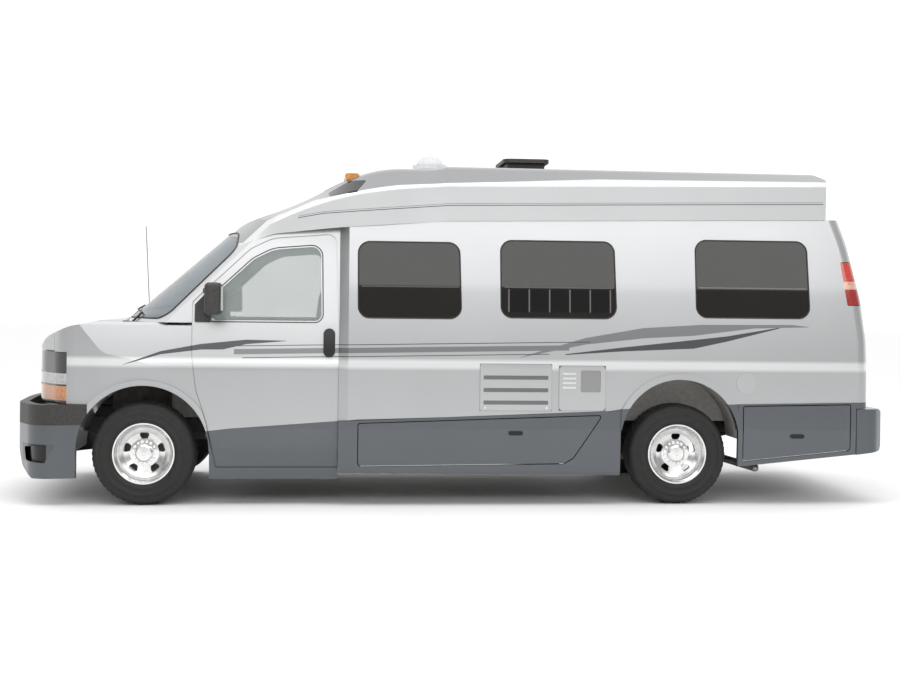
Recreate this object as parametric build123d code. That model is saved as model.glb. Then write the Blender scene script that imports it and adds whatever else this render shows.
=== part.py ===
from build123d import *
from functools import lru_cache
import math
import os

# Camper van on a long cutaway-style van chassis, in millimetres.
# X runs to the rear with zero at the front axle until a piece is saved.
# Negative Y is the driver's side, Z is up from the ground.

# Overall sizes
WHEELBASE = 3937.0
FRONT_OVERHANG = 1000.0
REAR_OVERHANG = 1600.0
NOSE_X = -FRONT_OVERHANG
TAIL_X = WHEELBASE + REAR_OVERHANG
CENTRE_X = (NOSE_X + TAIL_X) / 2

# Panels
HOUSE_WALL = 50.0
CAB_WALL = 45.0
ROOF_WALL = 40.0
SKIN = 12.0
GAP = 7.0
EDGE = 30.0
FAR = 1500.0

# Wheel arches: centre x, centre z, radius, lip width
ARCHES = {
    "front": (-5.0, 395.0, 474.0, 40.0),
    "rear": (3937.0, 490.0, 446.0, 45.0),
}
LIP_OUT = 13.0
STEER_LOCK = 34.0

# Wheels
TYRE_R = 373.0
TYRE_W = 244.0
BEAD_R = 206.0
RIM_R = 220.0
TRACK = 1732.0
WHEEL_Y = TRACK / 2
HUB_Z = TYRE_R
KINGPIN_Y = 782.0
AXLE_X = {"front": 0.0, "rear": WHEELBASE}

# Heights
FLOOR_Z = 640.0
FLOOR_T = 40.0
SEAM_Z = 1325.0
BUMPER_TOP = 722.0
RAIL_TOP = 598.0

# Lengthwise places
HOUSE_X = 1402.0
FLARE_X = 1470.0
DOOR_FRONT_X = 341.0
DOOR_REAR_X = 1395.0
FENDER_END_X = 540.0

os.makedirs("parts", exist_ok=True)
SIDES = {"left": -1, "right": 1}


def save(name, shape):
    moved = Pos(-CENTRE_X, 0, 0) * shape
    moved.label = name
    export_step(moved, "parts/" + name + ".step")


def flat(rows):
    points = [(row[0], row[1]) for row in rows]
    radii = [row[2] if len(row) > 2 else 0 for row in rows]
    if max(radii) > 0:
        return make_face(FilletPolyline(*points, radius=radii, close=True))
    return make_face(Polyline(*points, close=True))


def side_face(rows, y=0.0):
    return Plane((0, y, 0), x_dir=(1, 0, 0), z_dir=(0, -1, 0)) * flat(rows)


def cross_face(rows, x=0.0):
    return Plane((x, 0, 0), x_dir=(0, 1, 0), z_dir=(1, 0, 0)) * flat(rows)


def plan_face(rows, z=0.0):
    return Pos(0, 0, z) * flat(rows)


def side_prism(rows, y0, y1):
    return extrude(side_face(rows, y0), amount=y1 - y0, dir=(0, 1, 0))


def cross_prism(rows, x0, x1):
    return extrude(cross_face(rows, x0), amount=x1 - x0, dir=(1, 0, 0))


def plan_prism(rows, z0, z1):
    return extrude(plan_face(rows, z0), amount=z1 - z0, dir=(0, 0, 1))


def block(x0, x1, y0, y1, z0, z1):
    return Pos((x0 + x1) / 2, (y0 + y1) / 2, (z0 + z1) / 2) * Box(
        abs(x1 - x0), abs(y1 - y0), abs(z1 - z0)
    )


def rod_y(x, z, radius, y0, y1):
    return Pos(x, (y0 + y1) / 2, z) * Rot(90, 0, 0) * Cylinder(radius, abs(y1 - y0))


def rod_x(y, z, radius, x0, x1):
    return Pos((x0 + x1) / 2, y, z) * Rot(0, 90, 0) * Cylinder(radius, abs(x1 - x0))


def rod_z(x, y, radius, z0, z1):
    return Pos(x, y, (z0 + z1) / 2) * Cylinder(radius, abs(z1 - z0))


def mirrored(rows):
    other = [(-row[0],) + tuple(row[1:]) for row in reversed(rows)]
    return list(rows) + other


def grown(rows, amount):
    return offset(flat(rows), amount=amount, kind=Kind.INTERSECTION)


def side_cut(rows, amount, y0, y1):
    face = Plane((0, y0, 0), x_dir=(1, 0, 0), z_dir=(0, -1, 0)) * grown(rows, amount)
    return extrude(face, amount=y1 - y0, dir=(0, 1, 0))


def span(sign, inner, outer):
    return (sign * inner, sign * outer) if sign > 0 else (sign * outer, sign * inner)


# Cross sections, half of each: y, z, corner radius
HOUSE_HALF = [
    (1038, 560, 0),
    (1040, 1030, 500),
    (992, 1600, 4000),
    (930, 2200, 0),
]
CAB_HALF = [
    (1001, 560, 0),
    (1003, 1010, 400),
    (958, 1335, 500),
    (828, 2200, 0),
]
SILL_HALF = [
    (955, 190, 0),
    (992, 420, 200),
]


def inset_rows(rows, amount):
    return [(row[0] - amount, row[1], max(row[2] - amount, 0)) for row in rows]


def section_rows(half, inset=0.0):
    return mirrored(inset_rows(half, inset))


# Side profile of the house above its skirts: x, z, corner radius
TAIL_PROFILE = [
    (5402, 560, 0),
    (5398, 1240, 900),
    (5362, 1540, 900),
    (5262, 1965, 900),
    (5178, 2200, 0),
]
TAIL_CORNER_R = 95.0

# Top edge of the walls, the lip that the roof sits on: x, z
LIP = [(640, 1893), (927, 1985), (1365, 2032), (2207, 2094), (5300, 2152)]


def above_lip(lift=0.0):
    rows = [(row[0], row[1] + lift) for row in LIP]
    return [(-200, 1600 + lift)] + rows + [(6000, 2152 + lift), (6000, 3200), (-200, 3200)]


def tail_region(inset=0.0):
    rows = [(row[0] - inset, row[1], row[2]) for row in TAIL_PROFILE]
    return [(-200, 560, 0)] + rows + [(-200, 2200, 0)]


# Windscreen surface: an arc in plan that leans back as it rises
SCREEN_R = 1350.0
SCREEN_LEAN = 1.147
SCREEN_X0 = -87.0
SCREEN_Z0 = 1468.0


def screen_x(z, y=0.0):
    bow = SCREEN_R - math.sqrt(SCREEN_R ** 2 - y ** 2)
    return SCREEN_X0 + SCREEN_LEAN * (z - SCREEN_Z0) + bow


def screen_solid(front, back, z0=100.0, z1=2700.0):
    # region from front mm to back mm behind the outer glass surface
    def arc_pts(off):
        y = 1010.0
        x0 = screen_x(z0) + off
        xe = x0 + SCREEN_R - math.sqrt(SCREEN_R ** 2 - y ** 2)
        return (x0, 0), (xe, y), (xe, -y)

    f_mid, f_right, f_left = arc_pts(front)
    b_mid, b_right, b_left = arc_pts(back)
    edges = [
        ThreePointArc(f_left, f_mid, f_right),
        Line(f_right, b_right),
        ThreePointArc(b_right, b_mid, b_left),
        Line(b_left, f_left),
    ]
    face = Pos(0, 0, z0) * make_face(edges)
    rise = z1 - z0
    length = rise * math.sqrt(1 + SCREEN_LEAN ** 2)
    return extrude(face, amount=length, dir=(SCREEN_LEAN, 0, 1))


def behind_screen(inset=0.0):
    return screen_solid(inset, 7000.0)


# Nose plan, half: x, y, corner radius
NOSE_HALF = [
    (-862, 0, 2500),
    (-812, 620, 500),
    (-600, 940, 250),
    (-300, 990, 600),
    (200, 1006, 0),
    (1402, 1020, 0),
]


def nose_plan(inset=0.0):
    rows = [NOSE_HALF[0]] + [(r[0], r[1] - inset * 0.9, r[2]) for r in NOSE_HALF[1:]]
    rows = [(r[0] + inset if i < 3 else r[0], r[1], r[2]) for i, r in enumerate(rows)]
    other = [(r[0], -r[1], r[2]) for r in reversed(rows[1:])]
    return rows + other


# Nose side profile over the bonnet: x, z, corner radius
BONNET_PROFILE = [
    (1402, 190, 0),
    (-862, 190, 0),
    (-862, 960, 0),
    (-838, 1105, 120),
    (-735, 1212, 220),
    (-545, 1290, 500),
    (-330, 1337, 700),
    (60, 1372, 0),
    (1402, 1400, 0),
]
# Crown across the bonnet, half: y, z, corner radius
CROWN_HALF = [
    (1100, 150, 0),
    (1100, 1180, 0),
    (972, 1302, 110),
    (760, 1362, 400),
]


def crown_rows(inset=0.0):
    half = [(r[0], r[1] - (inset if i > 1 else 0), r[2]) for i, r in enumerate(CROWN_HALF)]
    return half + [(0, 1395 - inset, 3000)] + [(-r[0], r[1], r[2]) for r in reversed(half)]


def bonnet_rows(inset=0.0):
    rows = []
    for x, z, r in BONNET_PROFILE:
        low = z < 500
        rows.append((x + (inset if -870 < x < -700 else 0), z if low else z - inset, r))
    return rows


@lru_cache(maxsize=None)
def nose_solid(inset=0.0):
    body = cross_prism(section_rows(SILL_HALF + CAB_HALF, inset), -1100, HOUSE_X)
    body = body & side_prism(bonnet_rows(inset), -FAR, FAR)
    body = body & plan_prism(nose_plan(inset), 100, 1700)
    return body & cross_prism(crown_rows(inset), -1100, HOUSE_X)


@lru_cache(maxsize=None)
def cabin_solid(inset=0.0):
    body = cross_prism(section_rows(SILL_HALF + CAB_HALF, inset), -420, HOUSE_X)
    return body & behind_screen(inset)


@lru_cache(maxsize=None)
def house_solid(inset=0.0):
    front = loft(
        [
            cross_face(section_rows(CAB_HALF, inset), HOUSE_X),
            cross_face(section_rows(HOUSE_HALF, inset), FLARE_X),
        ],
        ruled=True,
    )
    rear = cross_prism(section_rows(HOUSE_HALF, inset), FLARE_X, 5600)
    body = (front + rear) & side_prism(tail_region(inset), -FAR, FAR)
    corners = [
        edge for edge in body.edges()
        if edge.length > 100 and abs(edge.center().Y) > 800 and edge.center().X > 5000
        and 610 < edge.center().Z < 2170
    ]
    return fillet(corners, TAIL_CORNER_R - max(inset, 0))


# Roof sections: x, base y, shoulder y, shoulder z, upper y, upper z, crown z
ROOF_FRONT = [
    (600, 960, 830, 1890, 600, 2000, 2060),
    (900, 976, 838, 2095, 610, 2152, 2185),
    (1200, 1010, 862, 2225, 640, 2280, 2305),
    (1500, 1059, 872, 2300, 660, 2428, 2465),
    (1850, 1059, 874, 2348, 680, 2500, 2560),
    (2200, 1059, 872, 2375, 690, 2522, 2590),
]
ROOF_REAR = [ROOF_FRONT[-1], (5400, 1077, 862, 2440, 690, 2515, 2560)]


def roof_face(row, inset):
    x, by, sy, sz, uy, uz, cz = row
    half = [
        (by - inset, 1700, 0),
        (sy - inset, sz - inset * 0.6, 70 - inset),
        (uy - inset * 0.5, uz - inset, 150 - inset),
    ]
    other = [(-r[0], r[1], r[2]) for r in reversed(half)]
    return cross_face(half + [(0, cz - inset, 3000)] + other, x)


def roof_plan(inset):
    half = [
        (400, 1100 - inset, 0),
        (5060 - inset, 1000 - inset, 160 - inset),
        (5215 - inset, 560 - inset, 500),
    ]
    return half + [(x, -y, r) for x, y, r in reversed(half)]


@lru_cache(maxsize=None)
def roof_solid(inset=0.0):
    front = loft([roof_face(row, inset) for row in ROOF_FRONT])
    rear = loft([roof_face(row, inset) for row in ROOF_REAR], ruled=True)
    tail = [
        (500, 1600, 0),
        (5410 - inset, 1600, 0),
        (5225 - inset, 2100, 0),
        (5176 - inset, 2270, 900),
        (5128 - inset, 2470 - inset * 0.6, 70),
        (4880 - inset, 2640 - inset, 0),
        (4700, 2900, 0),
        (500, 2900, 0),
    ]
    body = (front + rear) & side_prism(tail, -FAR, FAR)
    body = body & plan_prism(roof_plan(inset), 1500, 2900)
    return body & behind_screen(inset)


def arch_cut(axle, grow=0.0, y0=-FAR, y1=FAR):
    x, z, radius, lip = ARCHES[axle]
    r = radius + grow
    return rod_y(x, z, r, y0, y1) + block(x - r, x + r, y0, y1, -50, z)


def arch_ring(axle, inner, outer, y0, y1, low=None):
    # half ring over the wheel with straight legs down to low
    x, z, radius, lip = ARCHES[axle]
    r0 = radius + inner
    r1 = radius + outer
    base = z if low is None else low
    ring = rod_y(x, z, r1, y0, y1) - rod_y(x, z, r0, y0, y1)
    ring = ring & block(x - r1, x + r1, y0, y1, z, z + r1)
    if base < z:
        ring += block(x - r1, x - r0, y0, y1, base, z)
        ring += block(x + r0, x + r1, y0, y1, base, z)
    return ring


# Whole bodies, outside and inside, that the panels are cut from
nose_out = nose_solid(0)
nose_skin = nose_out - nose_solid(CAB_WALL)
cabin_out = cabin_solid(0)
cabin_skin = cabin_out - cabin_solid(CAB_WALL)
house_out = house_solid(0)
house_in = house_solid(HOUSE_WALL)
above_walls = side_prism(above_lip(), -FAR, FAR)

# Front door outline: x, z, corner radius
DOOR_ROWS = [
    (520, 281, 15),
    (448, 617, 400),
    (372, 850, 300),
    (DOOR_FRONT_X, 1110, 300),
    (DOOR_FRONT_X, 1475, 20),
    (752, 1868, 120),
    (910, 1946, 260),
    (1369, 1984, 60),
    (DOOR_REAR_X, 1330, 900),
    (DOOR_REAR_X, 281, 15),
]
# Inner layer of the front door, kept well back from the hinged edge
DOOR_INNER_ROWS = [
    (590, 315, 15),
    (520, 640, 400),
    (470, 900, 300),
    (452, 1110, 300),
    (452, 1528, 20),
    (785, 1834, 120),
    (915, 1903, 260),
    (1338, 1946, 60),
    (DOOR_REAR_X - EDGE - 5, 1330, 900),
    (DOOR_REAR_X - EDGE - 5, 315, 15),
]
DOOR_GLASS_ROWS = [
    (462, 1345, 25),
    (462, 1500, 60),
    (772, 1792, 150),
    (915, 1866, 260),
    (1262, 1896, 70),
    (1272, 1345, 50),
]
DOOR_AXIS = (DOOR_FRONT_X - 1, 1004.0)

# Hull of the cab: what lies above the seam and below the roof lip
cab_hull = cabin_skin - above_walls
cab_hull = cab_hull & block(-420, HOUSE_X, -FAR, FAR, 190, 2300)
cab_hull = cab_hull - block(-420, 330, -FAR, FAR, 0, SEAM_Z)

# Windscreen outline seen from the front, half: y, z, corner radius
SCREEN_HALF = [
    (905, 1352, 60),
    (800, 1880, 160),
    (560, 2003, 400),
]
screen_cut = cross_prism(mirrored(SCREEN_HALF), -400, 1200)
windshield = screen_solid(0, 6) & screen_cut
cab_shell = cab_hull - (screen_solid(-80, 140) & screen_cut)
outer_layer = cabin_out - cabin_solid(SKIN + 1)
cab_shell = cab_shell - (outer_layer & side_cut(DOOR_ROWS, GAP, -FAR, FAR))
cab_shell = cab_shell - side_cut(DOOR_INNER_ROWS, GAP, -FAR, FAR)
cab_shell = cab_shell - arch_cut("front", 12)
# ahead of the door and below the seam the outside is fender
cab_shell = cab_shell - (
    block(-420, FENDER_END_X, -FAR, FAR, 0, SEAM_Z) - side_cut(DOOR_ROWS, GAP, -FAR, FAR)
)

# Bonnet outline in plan, half: x, y, corner radius
HOOD_HALF = [
    (-118, 868, 60),
    (-520, 872, 500),
    (-1100, 760, 0),
]
HOOD_LOW_Z = 1108.0
HOOD_REAR = (-345.0, 2000.0)
HOOD_AXIS = (-112.0, 1338.0)


def hood_cut(amount):
    rows = [(x, y - amount, r) for x, y, r in HOOD_HALF]
    rows[0] = (rows[0][0] - amount, rows[0][1], rows[0][2])
    other = [(x, -y, r) for x, y, r in reversed(rows)]
    middle = [(HOOD_REAR[0] - amount, 0, HOOD_REAR[1])]
    return plan_prism(rows + other + middle, HOOD_LOW_Z + amount, 1600)


# Face of the van below the bonnet: grille between two lamp units
LAMP_Z = (727.0, 1100.0)
LAMP_BACK_X = -556.0
LAMP_INNER_Y = 560.0
FACE_DEPTH = 60.0

face_box = block(-1000, LAMP_BACK_X, -FAR, FAR, LAMP_Z[0], LAMP_Z[1])
face_skin = nose_out - nose_solid(FACE_DEPTH)
hood = (nose_skin & hood_cut(GAP / 2)) - nose_solid(CAB_WALL - 1)
fender_skin = nose_skin & block(-1000, 560, -FAR, FAR, 190, SEAM_Z + 90)
fender_skin = fender_skin - block(-1000, LAMP_BACK_X, -FAR, FAR, 100, LAMP_Z[1] + 3)
fender_skin = fender_skin - block(-1000, -396, -FAR, FAR, 100, BUMPER_TOP + 6)
fender_skin = fender_skin - block(-172, 600, -FAR, FAR, SEAM_Z, 1500)
fender_skin = fender_skin - hood_cut(-GAP / 2)
fender_skin = fender_skin - arch_cut("front")
fender_skin = fender_skin - side_cut(DOOR_ROWS, GAP, -FAR, FAR)
fender_skin = fender_skin - block(FENDER_END_X, 1500, -FAR, FAR, 100, 1500)
fender_skin = fender_skin - block(-200, 600, -830, 830, 1200, 1500)
fender_skin = fender_skin - block(146, 600, -950, 950, 1000, 1500)
fenders = []
for side, sign in SIDES.items():
    y0, y1 = span(sign, 560, 1100)
    half = fender_skin & block(-1000, 600, y0, y1, 100, 1500)
    f0, f1 = span(sign, 950, 1003 + LIP_OUT)
    lip = arch_ring("front", 0, ARCHES["front"][3], f0, f1, 395)
    lip = lip - side_cut(DOOR_ROWS, GAP, -FAR, FAR)
    lip = lip - block(-1000, -396, -FAR, FAR, 100, BUMPER_TOP + 6)
    w0, w1 = span(sign, 545, 958)
    liner = arch_ring("front", 0, 10, w0, w1, 640)
    b0, b1 = span(sign, 934, 1100)
    liner = liner - block(-1000, -396, b0, b1, 100, BUMPER_TOP + 6)
    fenders.append(half + lip + liner)

# Front bumper: dark upper bar and painted valance
BUMPER_HALF = [
    (NOSE_X - 7.4, 0, 2200),
    (-955, 640, 300),
    (-780, 985, 260),
    (-358, 1008, 0),
]
BUMPER_PROFILE = [
    (-1100, BUMPER_TOP, 0),
    (-400, BUMPER_TOP + 4, 0),
    (-400, 583, 0),
    (-1100, 572, 0),
]
VALANCE_PROFILE = [
    (-1010, 572, 0),
    (-440, 582, 0),
    (-447, 480, 60),
    (-450, 200, 0),
    (-800, 190, 30),
    (-905, 262, 60),
    (-985, 480, 120),
]


def bumper_plan(inset=0.0):
    rows = []
    for x, y, r in BUMPER_HALF:
        rows.append((x + inset if x < -900 else x + inset * 0.5, max(y - inset, 0), r))
    other = [(x, -y, r) for x, y, r in reversed(rows[1:])]
    return rows + other


bumper_out = plan_prism(bumper_plan(0), 100, 900)
bumper_ring = bumper_out - plan_prism(bumper_plan(60), 90, 910)
wheel_room = arch_cut("front", 0)
front_bumper = bumper_ring & side_prism(BUMPER_PROFILE, -FAR, FAR)
front_bumper = front_bumper - wheel_room - nose_solid(60)
front_bumper = front_bumper + block(-960, -620, -430, 430, RAIL_TOP, 650)
FOG_ROWS = [
    (-882, 411, 20),
    (-610, 447, 20),
    (-702, 304, 30),
    (-861, 314, 20),
]
front_valance = bumper_ring & side_prism(VALANCE_PROFILE, -FAR, FAR)
front_valance = front_valance - wheel_room
fog_deep = plan_prism(bumper_plan(26), 90, 910)
for side, sign in SIDES.items():
    y0, y1 = span(sign, 500, 1200)
    fog = side_prism(FOG_ROWS, y0, y1)
    front_valance = front_valance - (fog - fog_deep)
front_valance = front_valance - (cross_prism(
    [(-430, 300, 30), (430, 300, 30), (470, 500, 30), (-470, 500, 30)], -1100, -900
) - fog_deep)

# Grille: frame, two rows of openings, one wide bar across the lamps
GRILLE_ROWS = [(-1, 868, 949)]
grille_block = face_skin & block(-1000, LAMP_BACK_X, -LAMP_INNER_Y, LAMP_INNER_Y, *LAMP_Z)
grille_block = grille_block - hood_cut(-GAP / 2)
GRILLE_HOLES = [(762, 850, 5), (967, 1068, 5)]
grille = grille_block
for low, high, count in GRILLE_HOLES:
    pitch = 2 * (LAMP_INNER_Y - 30) / count
    for i in range(count):
        y0 = -(LAMP_INNER_Y - 30) + i * pitch
        grille = grille - block(-1000, -835 + 30, y0 + 8, y0 + pitch - 8, low, high)
headlamps = []
for side, sign in SIDES.items():
    y0, y1 = span(sign, LAMP_INNER_Y, 1100)
    lamp = face_skin & block(-1000, LAMP_BACK_X, y0, y1, *LAMP_Z)
    lamp = lamp - hood_cut(-GAP / 2)
    outer = nose_out - nose_solid(6)
    for low, high in ((858, 866), (950, 956)):
        lamp = lamp - (outer & block(-1000, LAMP_BACK_X - 12, y0, y1, low, high))
    headlamps.append(lamp)

# Front doors: outer skin to the full outline, inner layer set back
door_space = cabin_out - cabin_solid(CAB_WALL + 12)
door_skin = cabin_out - cabin_solid(SKIN)
glass_layer = cabin_solid(4) - cabin_solid(9)
doors = {}
door_glasses = {}
for side, sign in SIDES.items():
    y0, y1 = span(sign, 600, 1200)
    door = door_skin & side_prism(DOOR_ROWS, y0, y1)
    door += door_space & side_prism(DOOR_INNER_ROWS, y0, y1)
    window = side_prism(DOOR_GLASS_ROWS, y0, y1)
    glass = glass_layer & side_cut(DOOR_GLASS_ROWS, 12, y0, y1)
    doors[side] = door - window - glass
    door_glasses[side] = glass

# House walls with windows: x start, x end, z low, z high, corner radius, lean
WALL_TOP_LEAN = 14.0
WINDOWS = [
    (1535, 2298, 1372, 1934, 85),
    (2587, 3457, 1383, 1957, 85),
    (4060, 4938, 1398, 1980, 85),
]


def window_rows(row):
    x0, x1, z0, z1, r = row
    return [(x0 + 4, z0, r), (x0, z1, r), (x1 - 16, z1, r), (x1, z0, r)]


ENTRY_ROWS = [
    (1500, 420, 30),
    (1500, 1990, 90),
    (2335, 1996, 90),
    (2335, 420, 30),
]
ENTRY_INNER_ROWS = [
    (1612, 455, 30),
    (1612, 1958, 70),
    (2300, 1964, 70),
    (2300, 455, 30),
]
ENTRY_AXIS = (1499.0, 1044.0)
REAR_DOOR_AXIS = (5403.0, 791.0)
STORE_AXIS_Y = 1044.0
REAR_DOOR_HALF_W = 790.0
REAR_DOOR_Z = (738.0, 2035.0)

WALL_LOW = [
    (HOUSE_X, 620),
    (2215, 652),
    (3491, 703),
    (3491, 560),
    (4383, 560),
    (4383, 754),
    (5292, 770),
    (5292, BUMPER_TOP + 2),
    (5500, BUMPER_TOP + 2),
]
wall_region = side_prism(
    WALL_LOW + [(5500, 2152), (5300, 2152), (2207, 2094), (1365, 2032), (1340, 620)],
    -FAR,
    FAR,
)
house_walls = (house_out - house_in) & wall_region
house_walls = house_walls - arch_cut("rear")
rear_cutter = block(5000, 5500, -REAR_DOOR_HALF_W - 40, REAR_DOOR_HALF_W + 40, 500, 2200)
house_sides = {}
for side, sign in SIDES.items():
    y0, y1 = span(sign, 400, 1200)
    wall = house_walls & block(1300, 5500, y0, y1, 500, 2200)
    wall = wall - rear_cutter
    f0, f1 = span(sign, 990, 1040 + LIP_OUT)
    lip = arch_ring("rear", 0, ARCHES["rear"][3], f0, f1, 560)
    lip = lip & wall_region
    for i, row in enumerate(WINDOWS):
        if side == "right" and i == 0:
            continue
        wall = wall - side_prism(window_rows(row), y0, y1)
    if side == "right":
        hole = side_cut(ENTRY_ROWS, GAP, y0, y1) & (house_out - house_solid(SKIN + 1))
        wall = wall - hole - side_cut(ENTRY_INNER_ROWS, GAP, y0, y1)
    house_sides[side] = wall + lip

# Glass of the house windows, set flush in the wall openings
pane_layer = house_solid(3) - house_solid(9)
house_glass = []
for i, row in enumerate(WINDOWS):
    for side, sign in SIDES.items():
        if side == "right" and i == 0:
            continue
        y0, y1 = span(sign, 400, 1200)
        house_glass.append(pane_layer & side_prism(window_rows(row), y0, y1))

# Painted skirts below the walls, half section: y, z, corner radius
SKIRT_WALL = 36.0
SKIRT_HALF = [
    (1022, 215, 0),
    (1030, 250, 0),
    (1043, 560, 300),
    (1043, 800, 0),
]
SKIRT_REGIONS = {
    "middle": [
        (HOUSE_X, 618),
        (2215, 650),
        (3490, 702),
        (3490, 223),
        (HOUSE_X, 240),
    ],
    "rear": [
        (4383, 754),
        (5292, 770),
        (5292, 378),
        (4383, 286),
    ],
}
# Storage doors on the left: x, z, corner radius
STORE_DOORS = {
    "middle": [
        (1548, 292, 25),
        (1548, 600, 12),
        (3345, 664, 12),
        (3135, 352, 60),
        (3068, 312, 20),
    ],
    "rear": [
        (4425, 330, 20),
        (4425, 735, 12),
        (5245, 750, 12),
        (5245, 412, 20),
    ],
}
skirt_ring = cross_prism(section_rows(SKIRT_HALF, 0), 1300, 5400)
skirt_core = cross_prism(section_rows(SKIRT_HALF, SKIRT_WALL), 1290, 5410)
skirt_skin_core = cross_prism(section_rows(SKIRT_HALF, SKIN), 1290, 5410)
skirt_shell = skirt_ring - skirt_core
skirt_shell = skirt_shell - block(1200, 5500, -900, 900, 100, 900)

# Entry door on the right
entry_skin = (house_out - house_solid(SKIN)) & block(1400, 2500, 0, 1200, 640, 2100)
entry_skin += (skirt_ring - skirt_skin_core) & block(1400, 2500, 900, 1200, 200, 640)
entry_wall = (house_out - house_in) & block(1400, 2500, 0, 1200, 640, 2100)
entry_wall += skirt_shell & block(1400, 2500, 0, 1200, 200, 640)
entry_door = entry_skin & side_prism(ENTRY_ROWS, 400, 1200)
entry_door += entry_wall & side_prism(ENTRY_INNER_ROWS, 400, 1200)
entry_window = [(1680, 1360, 80), (1676, 1915, 80), (2236, 1915, 80), (2242, 1360, 80)]
entry_pane = house_solid(3) - house_solid(9)
entry_glass = entry_pane & side_prism(entry_window, 400, 1200)
entry_door = entry_door - side_prism(entry_window, 400, 1200)

skirts = {}
for side, sign in SIDES.items():
    y0, y1 = span(sign, 400, 1200)
    for place, rows in SKIRT_REGIONS.items():
        piece = skirt_shell & side_prism(rows, y0, y1)
        piece = piece - arch_cut("rear")
        if side == "left":
            piece = piece - side_cut(STORE_DOORS[place], GAP, y0, y1)
        elif place == "middle":
            piece = piece - side_cut(ENTRY_ROWS, GAP, y0, y1)
        skirts[(side, place)] = piece
store_doors = {}
for place, rows in STORE_DOORS.items():
    store_doors[place] = skirt_shell & side_prism(rows, -1200, -400)
# thin at its pointed corner, which swings down past the slanted edge
corner_x, corner_z, corner_r = STORE_DOORS["middle"][2]
corner_skin_y = SKIN - SKIRT_HALF[2][0]
store_doors["middle"] = store_doors["middle"] - block(
    corner_x - 115, corner_x + 55, corner_skin_y, -900, corner_z - 124, corner_z + 36
)

# Storage bins behind the left doors, hung under the floor: x0, x1, z0
BINS = {"middle": (1590, 3040, 300), "rear": (4665, 5225, 425)}
BIN_WALL = 10.0
BIN_INNER_Y = 500.0
bins = {}
for place, (x0, x1, z0) in BINS.items():
    y_in = -BIN_INNER_Y
    y_out = -(1043 - SKIRT_WALL - 22)
    outer = block(x0, x1, y_out, y_in, z0, FLOOR_Z - FLOOR_T)
    hollow = block(x0 + BIN_WALL, x1 - BIN_WALL, y_out - 5, y_in - BIN_WALL,
                   z0 + BIN_WALL, FLOOR_Z)
    bins[place] = outer - hollow

# Rear face: frame around two doors
rear_shell = (house_out - house_in) & block(
    4900, 5500, -REAR_DOOR_HALF_W - 40, REAR_DOOR_HALF_W + 40, 560, 2300
)
rear_shell = rear_shell - above_walls
REAR_DOOR_GAP = 4.0
door_field = cross_prism([
    (-REAR_DOOR_HALF_W, REAR_DOOR_Z[0], 40),
    (REAR_DOOR_HALF_W, REAR_DOOR_Z[0], 40),
    (REAR_DOOR_HALF_W - 40, REAR_DOOR_Z[1], 90),
    (-REAR_DOOR_HALF_W + 40, REAR_DOOR_Z[1], 90),
], 4800, 5600)
inner_field = cross_prism([
    (-REAR_DOOR_HALF_W + 85, REAR_DOOR_Z[0] + EDGE, 40),
    (REAR_DOOR_HALF_W - 85, REAR_DOOR_Z[0] + EDGE, 40),
    (REAR_DOOR_HALF_W - 125, REAR_DOOR_Z[1] - EDGE, 90),
    (-REAR_DOOR_HALF_W + 125, REAR_DOOR_Z[1] - EDGE, 90),
], 4800, 5600)
rear_skin = house_out - house_solid(SKIN)
rear_frame = rear_shell
rear_doors = {}
rear_glasses = {}
field_hole = cross_prism([
    (-REAR_DOOR_HALF_W - GAP, REAR_DOOR_Z[0] - GAP, 46),
    (REAR_DOOR_HALF_W + GAP, REAR_DOOR_Z[0] - GAP, 46),
    (REAR_DOOR_HALF_W - 40 + GAP, REAR_DOOR_Z[1] + GAP, 96),
    (-REAR_DOOR_HALF_W + 40 - GAP, REAR_DOOR_Z[1] + GAP, 96),
], 4800, 5600)
inner_hole = cross_prism([
    (-REAR_DOOR_HALF_W + 78, REAR_DOOR_Z[0] + EDGE - GAP, 46),
    (REAR_DOOR_HALF_W - 78, REAR_DOOR_Z[0] + EDGE - GAP, 46),
    (REAR_DOOR_HALF_W - 118, REAR_DOOR_Z[1] - EDGE + GAP, 96),
    (-REAR_DOOR_HALF_W + 118, REAR_DOOR_Z[1] - EDGE + GAP, 96),
], 4800, 5600)
rear_frame = rear_frame - (field_hole & (house_out - house_solid(SKIN + 1))) - inner_hole
REAR_WINDOW = [
    (80, 1370, 70),
    (82, 1900, 70),
    (660, 1900, 110),
    (690, 1370, 70),
]
rear_pane = house_solid(3) - house_solid(9)
for side, sign in SIDES.items():
    y0, y1 = span(sign, GAP / 2, 1000)
    i0, i1 = span(sign, GAP / 2 + 24, 1000)
    door = rear_skin & door_field & block(4900, 5500, y0, y1, 600, 2200)
    door += (house_out - house_in) & inner_field & block(4900, 5500, i0, i1, 600, 2200)
    rows = [(sign * y, z, r) for y, z, r in REAR_WINDOW]
    window = cross_prism(rows, 4900, 5600)
    rear_doors[side] = door - window
    rear_glasses[side] = rear_pane & window

# Raised roof with a slanted brow of dark glass
roof_out = roof_solid(0)
roof_cap = (roof_out - roof_solid(ROOF_WALL)) & above_walls
roof_cap = roof_cap - (screen_solid(-80, 140) & screen_cut)
BROW_SIDE = [
    (1231, 2250, 20),
    (1468, 2400, 20),
    (1600, 2404, 10),
    (1522, 2308, 20),
]
brow_cut = {}
for side, sign in SIDES.items():
    y0, y1 = span(sign, 640, 1100)
    brow_cut[side] = side_prism(BROW_SIDE, y0, y1)
brow_front = cross_prism(
    [(-560, 2318, 30), (560, 2318, 30), (520, 2432, 30), (-520, 2432, 30)], 1150, 1600
)
roof_pane = roof_out - roof_solid(8)
for cut in list(brow_cut.values()) + [brow_front]:
    house_glass.append(roof_pane & cut)
    roof_cap = roof_cap - cut

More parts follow.
